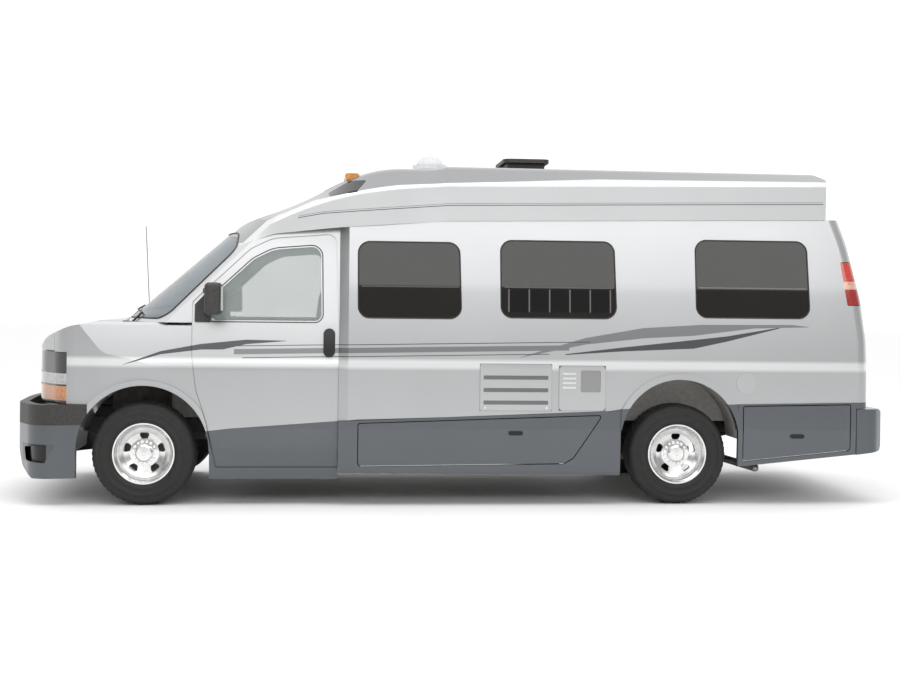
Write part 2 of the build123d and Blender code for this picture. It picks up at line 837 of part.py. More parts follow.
# Roof fittings: clear dome at the front, low dark hatch behind it
DOME = (2124.0, 0.0, 118.0, 2684.0)
HATCH = (2876.0, 0.0, 366.0, 600.0, 2636.0)
dome_x, dome_y, dome_r, dome_top = DOME
dome = Pos(dome_x, dome_y, dome_top - dome_r) * Sphere(dome_r)
dome_cup = dome & block(1900, 2400, -300, 300, dome_top - dome_r + 10, 2800)
dome_base = rod_z(dome_x, dome_y, dome_r + 22, 2560, dome_top - dome_r + 30)
vent_dome = dome_base + dome_cup
hatch_x, hatch_y, hatch_l, hatch_w, hatch_top = HATCH
hatch_base = block(hatch_x - 150, hatch_x + 150, -240, 240, 2540, 2612)
hatch_lid = Pos(hatch_x, hatch_y, hatch_top - 15) * Box(hatch_l, hatch_w, 30)
hatch_lid = fillet(hatch_lid.edges().filter_by(Axis.Z), 60)
vent_hatch = hatch_base + hatch_lid
vent_dome = vent_dome - roof_out
vent_hatch = vent_hatch - roof_out
clearance_lamps = []
for y, z in ((-620, 2440), (-310, 2456), (0, 2466), (310, 2456), (620, 2440)):
    lamp = fillet((Pos(1490, y, z) * Box(110, 52, 46)).edges().filter_by(Axis.Y), 20)
    clearance_lamps.append(lamp - roof_out)

# Chassis: two rails joined by cross members
RAIL_Y = 430.0
RAIL_W = 76.0
RAIL_Z = (478.0, RAIL_TOP)
RAIL_PROFILE = [
    (-760, 590, 0),
    (-760, 500, 0),
    (-640, 478, 60),
    (5240, 478, 0),
    (5240, RAIL_TOP, 0),
    (-640, RAIL_TOP, 60),
]
chassis = None
for side, sign in SIDES.items():
    y0, y1 = span(sign, RAIL_Y - RAIL_W / 2, RAIL_Y + RAIL_W / 2)
    rail = side_prism(RAIL_PROFILE, y0, y1)
    chassis = rail if chassis is None else chassis + rail
for x in (-690, 700, 1500, 2400, 3300, 4560, 5180):
    chassis += block(x - 35, x + 35, -RAIL_Y, RAIL_Y, 500, 580)
AXLE_R = 45.0
SPRING_Y = 560.0

# Rear axle with differential, leaf springs and propeller shaft
rear_axle = rod_y(WHEELBASE, HUB_Z, AXLE_R, -700, 700)
rear_axle += Pos(WHEELBASE, 60, HUB_Z) * Sphere(125)
rear_axle += rod_x(60, HUB_Z, 62, WHEELBASE - 260, WHEELBASE - 60)
for side, sign in SIDES.items():
    s0, s1 = span(sign, SPRING_Y - 35, SPRING_Y + 35)
    spring = side_prism([
        (3270, 520), (3600, 452), (3937, 424), (4300, 452), (4610, 520),
        (4610, 534), (4300, 470), (3937, 444), (3600, 470), (3270, 534),
    ], s0, s1)
    e0, e1 = span(sign, RAIL_Y + RAIL_W / 2, SPRING_Y + 35)
    spring += rod_y(3270, 527, 24, e0, e1)
    spring += rod_y(4610, 527, 24, e0, e1)
    saddle = block(WHEELBASE - 60, WHEELBASE + 60, s0, s1, HUB_Z, 430)
    p0, p1 = span(sign, 690, 716)
    drum = rod_y(WHEELBASE, HUB_Z, 160, p0, p1)
    h0, h1 = span(sign, 716, 905)
    spindle = rod_y(WHEELBASE, HUB_Z, 30, h0, h1)
    rear_axle += spring + saddle + drum + spindle
rear_axle += rod_x(60, HUB_Z, 36, 2700, WHEELBASE - 200)

# Engine and gearbox as one plain block
ENGINE = (-330, 480, 270, 405, 930)
engine = block(ENGINE[0], ENGINE[1], -ENGINE[2], ENGINE[2], ENGINE[3], ENGINE[4])
engine += block(ENGINE[1], 1250, -140, 140, 405, 494)


def pipe(points, radius):
    tube = None
    for start, end in zip(points[:-1], points[1:]):
        run = Vector(*end) - Vector(*start)
        leg = Plane(start, z_dir=run) * Cylinder(
            radius, run.length, align=(Align.CENTER, Align.CENTER, Align.MIN)
        )
        leg += Pos(*end) * Sphere(radius)
        tube = leg if tube is None else tube + leg
    return tube


exhaust = pipe(
    [(420, -320, 470), (640, -320, 285), (4420, -320, 285), (4560, -900, 262)], 29
)
exhaust += fillet(block(1750, 2400, -430, -190, 225, 345).edges().filter_by(Axis.X), 50)
exhaust += block(380, 450, -345, -270, 430, 520)
exhaust += block(2060, 2090, -400, -380, 340, 478)

# Front suspension: cross beam, arms, springs and steering rack
front_suspension = block(-70, 70, -468, 468, 285, 390)
for side, sign in SIDES.items():
    y0, y1 = span(sign, RAIL_Y - RAIL_W / 2, RAIL_Y + RAIL_W / 2)
    front_suspension += block(-70, 70, y0, y1, 385, RAIL_Z[0])
    arm = [(-85, sign * 460), (85, sign * 460), (40, sign * 735), (-40, sign * 735)]
    front_suspension += plan_prism(arm, 288, 316)
    arm = [(-75, sign * 460), (75, sign * 460), (35, sign * 735), (-35, sign * 735)]
    front_suspension += plan_prism(arm, 455, 478)
    front_suspension += rod_z(0, sign * 600, 42, 300, 560)
front_suspension += rod_y(118, 330, 22, -560, 560) + block(60, 118, -60, 60, 312, 348)

# Knuckles with brake disc and spindle
knuckles = {}
for side, sign in SIDES.items():
    knuckle = rod_z(0, sign * KINGPIN_Y, 30, 270, 490)
    y0, y1 = span(sign, KINGPIN_Y - 24, 822)
    knuckle += rod_y(0, HUB_Z, 66, y0, y1)
    y0, y1 = span(sign, 820, 846)
    knuckle += rod_y(0, HUB_Z, 156, y0, y1)
    y0, y1 = span(sign, 840, 905)
    knuckle += rod_y(0, HUB_Z, 30, y0, y1)
    y0, y1 = span(sign, 764, 790)
    knuckle += block(0, 128, y0, y1, 322, 344)
    y0, y1 = span(sign, 796, 851)
    knuckle += block(80, 160, y0, y1, 340, 430)
    knuckles[side] = knuckle

# Wheels: profile radius against distance outward from the wheel centre
RIM_BARREL = [
    (198, -104), (222, -104), (222, -98), (206, -92), (206, -60), (190, -40),
    (190, 20), (206, 60), (206, 92), (222, 98), (222, 106), (212, 106),
    (198, 90), (196, 60), (180, 24), (180, -42), (198, -62),
]
RIM_DISC = [
    (30.05, -12), (62, -12), (62, 20), (90, 24), (140, 36), (181, 12), (184, 34),
    (148, 60), (104, 42), (66, 48), (62, 84), (52, 92), (0, 94), (0, 52), (30.05, 52),
]
TYRE_PROFILE = [
    (206, -92), (206, 92), (222, 98), (226, 110), (262, 121), (305, 122), (348, 112),
    (369, 92), (TYRE_R, 70), (TYRE_R, -70), (369, -92), (348, -112), (305, -122),
    (262, -121), (226, -110), (222, -98),
]
SLOT_ROWS = [(-20, 104, 10), (20, 104, 10), (44, 150, 16), (-44, 150, 16)]
SLOTS = 5
LUGS = 8
LUG_CIRCLE_R = 82.5


def spun(rows):
    face = Plane.XZ * flat(rows)
    return revolve(face, axis=Axis.Z)


rim_round = spun(RIM_BARREL) + spun(RIM_DISC)
for i in range(SLOTS):
    rim_round = rim_round - Rot(0, 0, 360 / SLOTS * i) * plan_prism(SLOT_ROWS, -20, 110)
for i in range(LUGS):
    turn = Rot(0, 0, 360 / LUGS * i + 12)
    rim_round = rim_round + turn * rod_z(0, LUG_CIRCLE_R, 10, 30, 60)
tyre_round = spun(TYRE_PROFILE)
wheels = {}
for axle, x in AXLE_X.items():
    for side, sign in SIDES.items():
        place = Pos(x, sign * WHEEL_Y, HUB_Z) * Rot(-90 * sign, 0, 0)
        wheels[(axle, side)] = (place * tyre_round, place * rim_round)

# Floor, wheel housings, engine cover and firewall
floor_rows = [
    (185, 528), (492, 528), (492, 1100), (5345, 1100),
    (5345, -1100), (492, -1100), (492, -528), (185, -528),
]
inside = cabin_solid(CAB_WALL) + house_in
floor = plan_prism(floor_rows, FLOOR_Z - FLOOR_T, FLOOR_Z)
floor = floor & (inside + block(100, 600, -900, 900, 500, 700))
floor = floor - arch_cut("rear", 16, -1100, -690) - arch_cut("rear", 16, 690, 1100)
floor = floor - block(100, 640, -300, 300, 500, 700)
cover = block(150, 660, -330, 330, FLOOR_Z - FLOOR_T, 1000)
cover = cover - block(100, 640, -308, 308, 500, 980)
bulkhead = block(150, 185, -960, 960, 885, 1305) + block(150, 185, -528, 528, 600, 885)
bulkhead = bulkhead - block(100, 200, -308, 308, 500, 980)
bulkhead += block(150, 492, 528, 957, 885, 905) + block(150, 492, -957, -528, 885, 905)
bulkhead += block(480, 492, 528, 957, 600, 905) + block(480, 492, -957, -528, 600, 905)
bulkhead += block(185, 492, 516, 528, 600, 905) + block(185, 492, -528, -516, 600, 905)
bulkhead = bulkhead & cross_prism(section_rows(SILL_HALF + CAB_HALF, CAB_WALL + 3), 0, 600)
floor = floor + cover + (bulkhead - block(151, 200, -329, 329, 599, 999))
for side, sign in SIDES.items():
    y0, y1 = span(sign, 700, 983)
    well = arch_ring("rear", 6, 16, y0, y1, FLOOR_Z - FLOOR_T)
    y0, y1 = span(sign, 690, 700)
    cap_wall = arch_cut("rear", 16, y0, y1) & block(3000, 5000, -1100, 1100, 600, 1200)
    floor += well + cap_wall
    # keep the edge clear of the doors that close against it
    y0, y1 = span(sign, 936, 1100)
    floor = floor - block(430, DOOR_REAR_X, y0, y1, 500, 1000)
floor = floor - block(ENTRY_INNER_ROWS[0][0] - 12, ENTRY_INNER_ROWS[2][0] + 12, 980, 1100, 590, 700)

# Rear bumper wrapping the tail
REAR_BUMPER_PROFILE = [
    (5297, 719, 0),
    (5492, 720, 12),
    (5534, 690, 20),
    (5537, 464, 60),
    (5508, 402, 20),
    (5297, 376, 0),
]


def tail_plan(inset=0.0):
    half = [(5250, 1043 - inset, 0), (5440, 1040 - inset, 120), (TAIL_X - inset, 930 - inset, 90)]
    return half + [(x, -y, r) for x, y, r in reversed(half)]


rear_bumper = side_prism(REAR_BUMPER_PROFILE, -FAR, FAR) & plan_prism(tail_plan(0), 300, 800)
rear_bumper = rear_bumper - (
    plan_prism(tail_plan(45), 290, 704) & block(5000, TAIL_X - 45, -FAR, FAR, 290, 704)
)
rear_bumper = rear_bumper - block(5200, 5402, -900, 900, 560, 730)
rear_bumper += block(5240, 5500, -468, -392, 480, 556) + block(5240, 5500, 392, 468, 480, 556)

# Plate recess with four holes
PLATE_FACE_X = 5526.0
PLATE_Z = 590.0
PLATE_SPACING = (178.0, 121.0)
PLATE_HOLE_R = 3.5
rear_bumper = rear_bumper - block(PLATE_FACE_X, 5600, -158, 158, PLATE_Z - 82, PLATE_Z + 82)
for y in (-PLATE_SPACING[0] / 2, PLATE_SPACING[0] / 2):
    for z in (PLATE_Z - PLATE_SPACING[1] / 2, PLATE_Z + PLATE_SPACING[1] / 2):
        rear_bumper = rear_bumper - rod_x(y, z, PLATE_HOLE_R, 5480, PLATE_FACE_X + 5)

# Tail lamps let into the rear corners
TAIL_LAMP_ROWS = [
    (5182, 1831, 14),
    (5318, 1831, 14),
    (5500, 1499, 14),
    (5232, 1499, 14),
]
lamp_layer = house_out - house_solid(22)
tail_lamps = []
lamp_holes = []
for side, sign in SIDES.items():
    y0, y1 = span(sign, 838, 1200)
    hole = side_prism(TAIL_LAMP_ROWS, y0, y1)
    tail_lamps.append(lamp_layer & hole)
    house_sides[side] = house_sides[side] - (hole & (house_out - house_solid(22)))

# Wall panels on the left: fridge vent, heater hatch and filler cap
FRIDGE_ROWS = [(2437, 700, 14), (2437, 1043, 14), (2968, 1043, 14), (2968, 700, 14)]
HEATER_ROWS = [(3024, 702, 30), (3024, 1032, 30), (3372, 1032, 30), (3372, 702, 30)]
panel_layer = cross_prism(section_rows(inset_rows(HOUSE_HALF, -5)), 2300, 4700) - cross_prism(
    section_rows(HOUSE_HALF), 2290, 4710
)
fridge_panel = panel_layer & side_prism(FRIDGE_ROWS, -1200, -900)
for i in range(3):
    z = 745 + i * 92
    slot = side_prism([(2462, z, 8), (2462, z + 30, 8), (2943, z + 30, 8), (2943, z, 8)],
                      -1200, -900)
    fridge_panel = fridge_panel - slot
heater_panel = panel_layer & side_prism(HEATER_ROWS, -1200, -900)
heater_panel = heater_panel - side_prism(
    [(3185, 838, 14), (3185, 1000, 14), (3335, 1000, 14), (3335, 838, 14)], -1200, -900
)
CAP = (4440.0, 911.0, 76.0)
filler_cap = rod_y(CAP[0], CAP[1], CAP[2], -1047, -1036) & panel_layer
wall_panels = [fridge_panel, heater_panel, filler_cap]

# Cowl panel with wipers, below the windscreen
cowl = block(-340, 228, -828, 828, 1305, SEAM_Z) - hood_cut(-12)
cowl = cowl & block(-340, 228, -828, 828, 1300, 1400)
wipers = None
for y_pivot, y_tip in ((-560, 60), (90, 700)):
    y_mid = (y_pivot + y_tip) / 2
    path = [(y_pivot, 1322), (y_pivot, 1390), (y_mid, 1415), (y_tip, 1440)]
    arm = pipe([(screen_x(z, y) - (14 if z < SEAM_Z else 24), y, z) for y, z in path], 8)
    wipers = arm if wipers is None else wipers + arm
cowl = cowl + wipers
ANTENNA = (-215.0, 915.0, 2115.0)
fender_top = 1250.0
antenna = rod_z(ANTENNA[0], ANTENNA[1], 22, fender_top, 1345)
antenna += pipe([(ANTENNA[0], ANTENNA[1], 1340), (ANTENNA[0] - 40, ANTENNA[1], ANTENNA[2])], 4)
antenna = antenna - nose_out

# Mirrors on the doors
mirrors = {}
for side, sign in SIDES.items():
    y0, y1 = span(sign, 1040, 1245)
    shell = block(444, 562, y0, y1, 1385, 1617)
    shell = fillet(shell.edges(), 34)
    y0, y1 = span(sign, 930, 1060)
    foot = side_prism([(354, 1330, 10), (354, 1458, 10), (470, 1584, 20), (470, 1330, 10)], y0, y1)
    foot = foot & (cabin_solid(-14) - cabin_out)
    arm = block(420, 470, y0, y1, 1400, 1450) + block(420, 470, y0, y1, 1540, 1575)
    arm = arm - cabin_out
    mirrors[side] = shell + foot + arm

# Door handles and latches, fused to what carries them
for side, sign in SIDES.items():
    y0, y1 = span(sign, 960, 1020)
    grip = side_prism([(1283, 1082, 40), (1283, 1292, 40), (1378, 1292, 40), (1378, 1082, 40)],
                      y0, y1)
    doors[side] += grip & (cabin_solid(-16) - cabin_out)
for place, (x, z) in {"middle": (2704, 535), "rear": (4836, 515)}.items():
    latch = side_prism([(x - 55, z - 17, 16), (x - 55, z + 17, 16), (x + 55, z + 17, 16),
                        (x + 55, z - 17, 16)], -1049, -1035)
    store_doors[place] += latch

# Dashboard with steering wheel
DASH_ROWS = [
    (190, 960, 0), (190, 1296, 0), (330, 1300, 60), (505, 1240, 60), (520, 1110, 30), (400, 960, 30)
]
dash = side_prism(DASH_ROWS, -950, 950) & cabin_solid(CAB_WALL + 24)
dash = dash - block(100, 662, -331, 331, 900, 1002)
WHEEL_TILT = 62.0
wheel_at = Pos(690, -430, 1190) * Rot(0, WHEEL_TILT, 0)
dash += wheel_at * Torus(185, 15)
dash += wheel_at * (Cylinder(52, 40) + Box(350, 34, 18) + Pos(0, -90, 0) * Box(34, 180, 18))
dash += wheel_at * (Pos(0, 0, -130) * Cylinder(32, 260))

# Seats: pedestal, cushion, back and headrest
SEAT_Y = 470.0
SEAT_HALF_W = 245.0
seats = {}
for side, sign in SIDES.items():
    y0, y1 = span(sign, SEAT_Y - SEAT_HALF_W, SEAT_Y + SEAT_HALF_W)
    cushion = side_prism([
        (800, 905, 40), (800, 1010, 50), (1190, 1000, 60),
        (1285, 1610, 40), (1370, 1610, 40), (1330, 905, 40),
    ], y0, y1)
    y0, y1 = span(sign, SEAT_Y - 130, SEAT_Y + 130)
    head = side_prism([(1300, 1580, 0), (1292, 1800, 30), (1375, 1800, 30), (1356, 1580, 0)],
                      y0, y1)
    y0, y1 = span(sign, SEAT_Y - 170, SEAT_Y + 170)
    base = block(850, 1230, y0, y1, FLOOR_Z, 905)
    seats[side] = (cushion + head, base)

# Living area: low cabinet along the left and a bench across the tail
cabinet = block(1700, 3430, -968, -480, FLOOR_Z, 1340)
cabinet = cabinet & house_solid(HOUSE_WALL + 4)
bench = block(4420, 5250, -968, 968, FLOOR_Z, 1080) & house_solid(HOUSE_WALL + 4)

# Save every piece
PIECES = {
    "chassis_frame": [chassis],
    "engine": [engine],
    "exhaust": [exhaust],
    "front_suspension": [front_suspension],
    "rear_axle": [rear_axle],
    "floor": [floor],
    "front_bumper": [front_bumper],
    "front_valance": [front_valance],
    "grille": [grille],
    "headlamps": headlamps,
    "fenders": fenders,
    "hood": [hood],
    "cab_shell": [cab_shell],
    "windshield": [windshield],
    "cowl": [cowl],
    "antenna": [antenna],
    "house_left": [house_sides["left"]],
    "house_right": [house_sides["right"]],
    "house_glass": house_glass,
    "roof_cap": [roof_cap],
    "vent_dome": [vent_dome],
    "vent_hatch": [vent_hatch],
    "clearance_lamps": clearance_lamps,
    "rear_frame": [rear_frame],
    "entry_door": [entry_door],
    "entry_glass": [entry_glass],
    "skirts": list(skirts.values()),
    "store_door_middle": [store_doors["middle"]],
    "store_door_rear": [store_doors["rear"]],
    "storage_bins": list(bins.values()),
    "rear_bumper": [rear_bumper],
    "tail_lamps": tail_lamps,
    "wall_panels": wall_panels,
    "dashboard": [dash],
    "seat_cushions": [seats["left"][0], seats["right"][0]],
    "seat_bases": [seats["left"][1], seats["right"][1]],
    "cabinet": [cabinet],
    "rear_bench": [bench],
}
for side in SIDES:
    PIECES["front_door_" + side] = [doors[side]]
    PIECES["front_door_glass_" + side] = [door_glasses[side]]
    PIECES["mirror_" + side] = [mirrors[side]]
    PIECES["rear_door_" + side] = [rear_doors[side]]
    PIECES["rear_door_glass_" + side] = [rear_glasses[side]]
    PIECES["knuckle_" + side] = [knuckles[side]]
for (axle, side), (tyre, rim) in wheels.items():
    PIECES["tyre_" + axle + "_" + side] = [tyre]
    PIECES["rim_" + axle + "_" + side] = [rim]

for name, solids in PIECES.items():
    loose = []
    for solid in solids:
        loose.extend(solid.solids())
    save(name, Compound(children=loose) if len(loose) > 1 else loose[0])
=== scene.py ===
import bpy
import bmesh
import math
from mathutils import Matrix, Vector


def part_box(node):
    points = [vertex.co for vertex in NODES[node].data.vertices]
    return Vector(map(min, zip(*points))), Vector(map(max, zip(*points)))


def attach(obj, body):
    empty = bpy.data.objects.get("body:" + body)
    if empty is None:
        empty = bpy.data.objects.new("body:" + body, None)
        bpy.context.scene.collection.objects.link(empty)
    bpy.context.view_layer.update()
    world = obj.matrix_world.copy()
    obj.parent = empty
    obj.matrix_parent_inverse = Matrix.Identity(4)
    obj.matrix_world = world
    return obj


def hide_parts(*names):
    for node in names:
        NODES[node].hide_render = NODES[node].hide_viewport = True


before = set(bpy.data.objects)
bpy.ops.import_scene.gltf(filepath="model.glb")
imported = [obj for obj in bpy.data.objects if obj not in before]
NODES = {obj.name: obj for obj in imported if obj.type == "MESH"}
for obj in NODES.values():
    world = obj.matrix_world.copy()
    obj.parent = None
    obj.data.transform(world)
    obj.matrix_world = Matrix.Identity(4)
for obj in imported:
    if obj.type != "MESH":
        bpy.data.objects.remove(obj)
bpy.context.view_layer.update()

# The scene is in metres. Whole numbers in its tables are millimetres: x is measured back from the front axle,
# and z up from the ground
FRONT_AXLE_X = -2.2685
SIDES = (("left", -1), ("right", 1))


def axle_x(mm):
    return mm / 1000.0 + FRONT_AXLE_X


# Shader helpers
MARK_EDGE = 0.0012
RAMP_STOPS = (0.3, 0.7)
# Sockets of a colour mix node: factor, first colour, second colour and result
MIX_FACTOR, MIX_FIRST, MIX_SECOND, MIX_RESULT = 0, 6, 7, 2


def new_material(name):
    material = bpy.data.materials.new(name)
    material.use_nodes = True
    tree = material.node_tree
    return material, tree, tree.nodes["Principled BSDF"]


def add_node(tree, kind, **settings):
    node = tree.nodes.new(kind)
    for key, value in settings.items():
        setattr(node, key, value)
    return node


def noise(tree, scale, detail=2.0):
    place = add_node(tree, "ShaderNodeTexCoord")
    texture = add_node(tree, "ShaderNodeTexNoise")
    texture.inputs["Scale"].default_value = scale
    texture.inputs["Detail"].default_value = detail
    tree.links.new(place.outputs["Object"], texture.inputs["Vector"])
    return texture.outputs["Fac"]


def ramp(tree, factor, dark, light):
    node = add_node(tree, "ShaderNodeValToRGB")
    for stop, position, color in zip(node.color_ramp.elements, RAMP_STOPS, (dark, light)):
        stop.position = position
        stop.color = (*color, 1)
    tree.links.new(factor, node.inputs["Fac"])
    return node.outputs["Color"]


def maths(tree, operation, first, second=None, clamp=False):
    node = add_node(tree, "ShaderNodeMath", operation=operation, use_clamp=clamp)
    for socket, value in zip(node.inputs, (first, second)):
        if isinstance(value, (int, float)):
            socket.default_value = value
        elif value is not None:
            tree.links.new(value, socket)
    return node.outputs[0]


def mix_color(tree, factor, first, second):
    node = add_node(tree, "ShaderNodeMix", data_type="RGBA")
    for place, value in ((MIX_FACTOR, factor), (MIX_FIRST, first), (MIX_SECOND, second)):
        socket = node.inputs[place]
        if isinstance(value, tuple):
            socket.default_value = (*value, 1)
        else:
            tree.links.new(value, socket)
    return node.outputs[MIX_RESULT]


def bump(tree, shader, height, strength, distance):
    node = add_node(tree, "ShaderNodeBump")
    node.inputs["Strength"].default_value = strength
    node.inputs["Distance"].default_value = distance
    tree.links.new(height, node.inputs["Height"])
    tree.links.new(node.outputs["Normal"], shader.inputs["Normal"])


def axes_of(tree, output="Object"):
    split = add_node(tree, "ShaderNodeSeparateXYZ")
    place = add_node(tree, "ShaderNodeTexCoord")
    tree.links.new(place.outputs[output], split.inputs[0])
    return split.outputs[0], split.outputs[1], split.outputs[2]


def eased(tree, value, low, high, result):
    node = add_node(tree, "ShaderNodeMapRange", interpolation_type="SMOOTHSTEP")
    node.inputs["From Min"].default_value = low
    node.inputs["From Max"].default_value = high
    node.inputs["To Max"].default_value = result
    tree.links.new(value, node.inputs["Value"])
    return node.outputs[0]


# Masks, which are 1 inside a mark and 0 outside it
def above(tree, value, level, soft=MARK_EDGE):
    return maths(tree, "DIVIDE", maths(tree, "SUBTRACT", value, level), soft, True)


def below(tree, value, level, soft=MARK_EDGE):
    return maths(tree, "DIVIDE", maths(tree, "SUBTRACT", level, value), soft, True)


def all_of(tree, *masks):
    total = masks[0]
    for mask in masks[1:]:
        total = maths(tree, "MULTIPLY", total, mask)
    return total


def between(tree, value, low, high, soft=MARK_EDGE):
    return all_of(tree, above(tree, value, low, soft), below(tree, value, high, soft))


def rectangle(tree, x, z, x0, x1, z0, z1, soft=MARK_EDGE):
    across = between(tree, x, axle_x(x0), axle_x(x1), soft)
    return all_of(tree, across, between(tree, z, z0 / 1000, z1 / 1000, soft))


def capsule(tree, across, along, mid_across, mid_along, half, radius):
    # half is the length of the straight part each way from the middle
    du = maths(tree, "SUBTRACT", across, mid_across)
    dv = maths(tree, "ABSOLUTE", maths(tree, "SUBTRACT", along, mid_along))
    dv = maths(tree, "MAXIMUM", maths(tree, "SUBTRACT", dv, half), 0.0)
    squares = maths(tree, "ADD", maths(tree, "MULTIPLY", du, du), maths(tree, "MULTIPLY", dv, dv))
    return below(tree, maths(tree, "SQRT", squares), radius)


def on_left(tree, y):
    return maths(tree, "LESS_THAN", y, 0.0)


def curve_height(tree, x, points):
    # height of a line through points of x and z
    total = points[0][1] / 1000
    for (x0, z0), (x1, z1) in zip(points[:-1], points[1:]):
        node = add_node(tree, "ShaderNodeMapRange")
        node.inputs["From Min"].default_value = axle_x(x0)
        node.inputs["From Max"].default_value = axle_x(x1)
        node.inputs["To Min"].default_value = 0.0
        node.inputs["To Max"].default_value = (z1 - z0) / 1000
        tree.links.new(x, node.inputs["Value"])
        total = maths(tree, "ADD", node.outputs[0], total)
    return total


# Paint colours
SILVER = (0.455, 0.46, 0.465)
ROOF_SILVER = (0.56, 0.565, 0.57)
PANEL_SILVER = (0.48, 0.485, 0.49)
# Grey of the painted shade on top of the roof
ROOF_SHADE_GREY = (0.23, 0.235, 0.24)
SLATE = (0.105, 0.115, 0.125)
DARK_STRIPE = (0.075, 0.08, 0.085)
MID_STRIPE = (0.20, 0.21, 0.215)
BLACK = (0.012, 0.012, 0.013)
TRIM = (0.30, 0.29, 0.27)

# Swooshes: upper edge and lower edge as x, z
SWOOSHES = [
    {
        "top": [(-147, 1021), (116, 1118), (402, 1172), (731, 1206), (1020, 1200)],
        "low": [(-147, 1017), (116, 1094), (402, 1130), (560, 1132), (731, 1172), (1020, 1196)],
        "color": DARK_STRIPE,
    },
    {
        "top": [(2730, 1094), (3221, 1240), (3662, 1318), (4106, 1346), (4803, 1351), (4928, 1337)],
        "low": [(2730, 1090), (3221, 1190), (3662, 1240), (4041, 1262), (4500, 1320), (4928, 1333)],
        "color": MID_STRIPE,
    },
    {
        "top": [(3069, 1120), (3500, 1172), (4041, 1232), (4300, 1262), (4700, 1330)],
        "low": [(3069, 1112), (3500, 1142), (4041, 1166), (4300, 1222), (4700, 1322)],
        "color": DARK_STRIPE,
    },
]
# Belt stripes: start x, end x, low z and high z at BELT_X, colour; they climb to the rear
BELT = [
    (560, 3260, 1170, 1177, DARK_STRIPE),
    (640, 3100, 1112, 1152, MID_STRIPE),
    (700, 2950, 1084, 1091, DARK_STRIPE),
]
BELT_X = 1400
BELT_RISE = 0.0195
# Top edge of the grey lower body: x, z
GREY_TOP = [(430, 540), (617, 561), (1401, 618), (1537, 633), (2215, 652), (3400, 700),
            (3500, 716), (4300, 753), (5500, 774)]
# Pin lines along the roof: their x, z, and half of their width in metres
ROOF_LINES = [
    ([(1092, 2104), (1280, 2139), (2207, 2212), (5071, 2270)], 0.0035),
    ([(1092, 2116), (1280, 2152), (2207, 2226), (5071, 2284)], 0.0020),
]
# Low edge of a band of painted shade on top of the roof, where it curves over and looks darker: x, z
ROOF_SHADE_BOTTOM = [(684, 1915), (860, 2086), (1215, 2240), (1595, 2322), (1838, 2361), (3349, 2435), (5029, 2444)]
ROOF_SHADE_SOFTNESS = 0.003
# Painted highlight along the shoulder of the walls, where the crease turns to face up: low z, high z and soft
# edge in metres, and its colour
SHOULDER_HIGHLIGHT_BAND = (0.992, 1.082, 0.028)
SHOULDER_HIGHLIGHT_COLOR = (0.78, 0.785, 0.79)
# Front door handle: x, z, then half of its straight part and its radius in metres
HANDLE = (1330, 1187, 0.062, 0.044)
# Latches of the storage doors: x, z, and the same two sizes for both
LATCHES = [(2704, 535), (4836, 515)]
LATCH_HALF = 0.038
LATCH_RADIUS = 0.0165
# Dark recess at each end of the front valance: start x, end x, low z, high z
FOG = (-905, -690, 305, 440)
FOG_EDGE = 0.004
FOG_FROM_Y = 0.5
# Shadows behind the vent panels of the left wall: start x, end x, low z, high z, grey
VENT_SHADOWS = [(2434, 2971, 697, 1046, 0.17), (3021, 3375, 699, 1035, 0.17), (3180, 3340, 833, 1005, 0.3)]
# A face is an inner one when y times its normal's y is under the first, and a ceiling under the second
INNER_LEVEL = -0.35
CEILING_LEVEL = -0.3

# Flakes of the metallic paint: noise scale, roughness from and by how much, relief
FLAKE_SCALE = 900.0
PAINT_ROUGH = 0.27
PAINT_ROUGH_SPAN = 0.05
PAINT_METALLIC = 0.66
PAINT_COAT = 0.3
PAINT_COAT_ROUGH = 0.08
CLOUD_SCALE = 1.3
# Depth of relief in metres, on paint and on all else
FLAKE_RELIEF = 0.0002
RELIEF = 0.0005


def finish_paint(tree, shader, color):
    flake = noise(tree, FLAKE_SCALE, 1.0)
    tree.links.new(color, shader.inputs["Base Color"])
    rough = maths(tree, "ADD", maths(tree, "MULTIPLY", flake, PAINT_ROUGH_SPAN), PAINT_ROUGH)
    tree.links.new(rough, shader.inputs["Roughness"])
    shader.inputs["Metallic"].default_value = PAINT_METALLIC
    shader.inputs["Coat Weight"].default_value = PAINT_COAT
    shader.inputs["Coat Roughness"].default_value = PAINT_COAT_ROUGH
    bump(tree, shader, flake, 0.02, FLAKE_RELIEF)


def scaled(color, share):
    return tuple(min(1, c * share) for c in color)


def tone(tree, base, spread=0.02):
    return ramp(tree, noise(tree, CLOUD_SCALE), scaled(base, 1 - spread), scaled(base, 1 + spread))


def inner_faces(tree, y):
    # 1 on faces that look toward the middle of the van
    normal_y = axes_of(tree, "Normal")[1]
    return maths(tree, "LESS_THAN", maths(tree, "MULTIPLY", y, normal_y), INNER_LEVEL)


def add_stripes_and_highlight(tree, x, z, color):
    # painted highlight: a lighter band along the shoulder crease, under the stripes
    color = mix_color(tree, between(tree, z, *SHOULDER_HIGHLIGHT_BAND), color, SHOULDER_HIGHLIGHT_COLOR)
    for row in SWOOSHES:
        mask = all_of(tree, above(tree, z, curve_height(tree, x, row["low"])),
                      below(tree, z, curve_height(tree, x, row["top"])),
                      between(tree, x, axle_x(row["top"][0][0]), axle_x(row["top"][-1][0])))
        color = mix_color(tree, mask, color, row["color"])
    for x0, x1, z0, z1, stripe in BELT:
        rise = maths(tree, "MULTIPLY", maths(tree, "SUBTRACT", x, axle_x(BELT_X)), BELT_RISE)
        mask = rectangle(tree, x, maths(tree, "SUBTRACT", z, rise), x0, x1, z0, z1)
        color = mix_color(tree, mask, color, stripe)
    return color


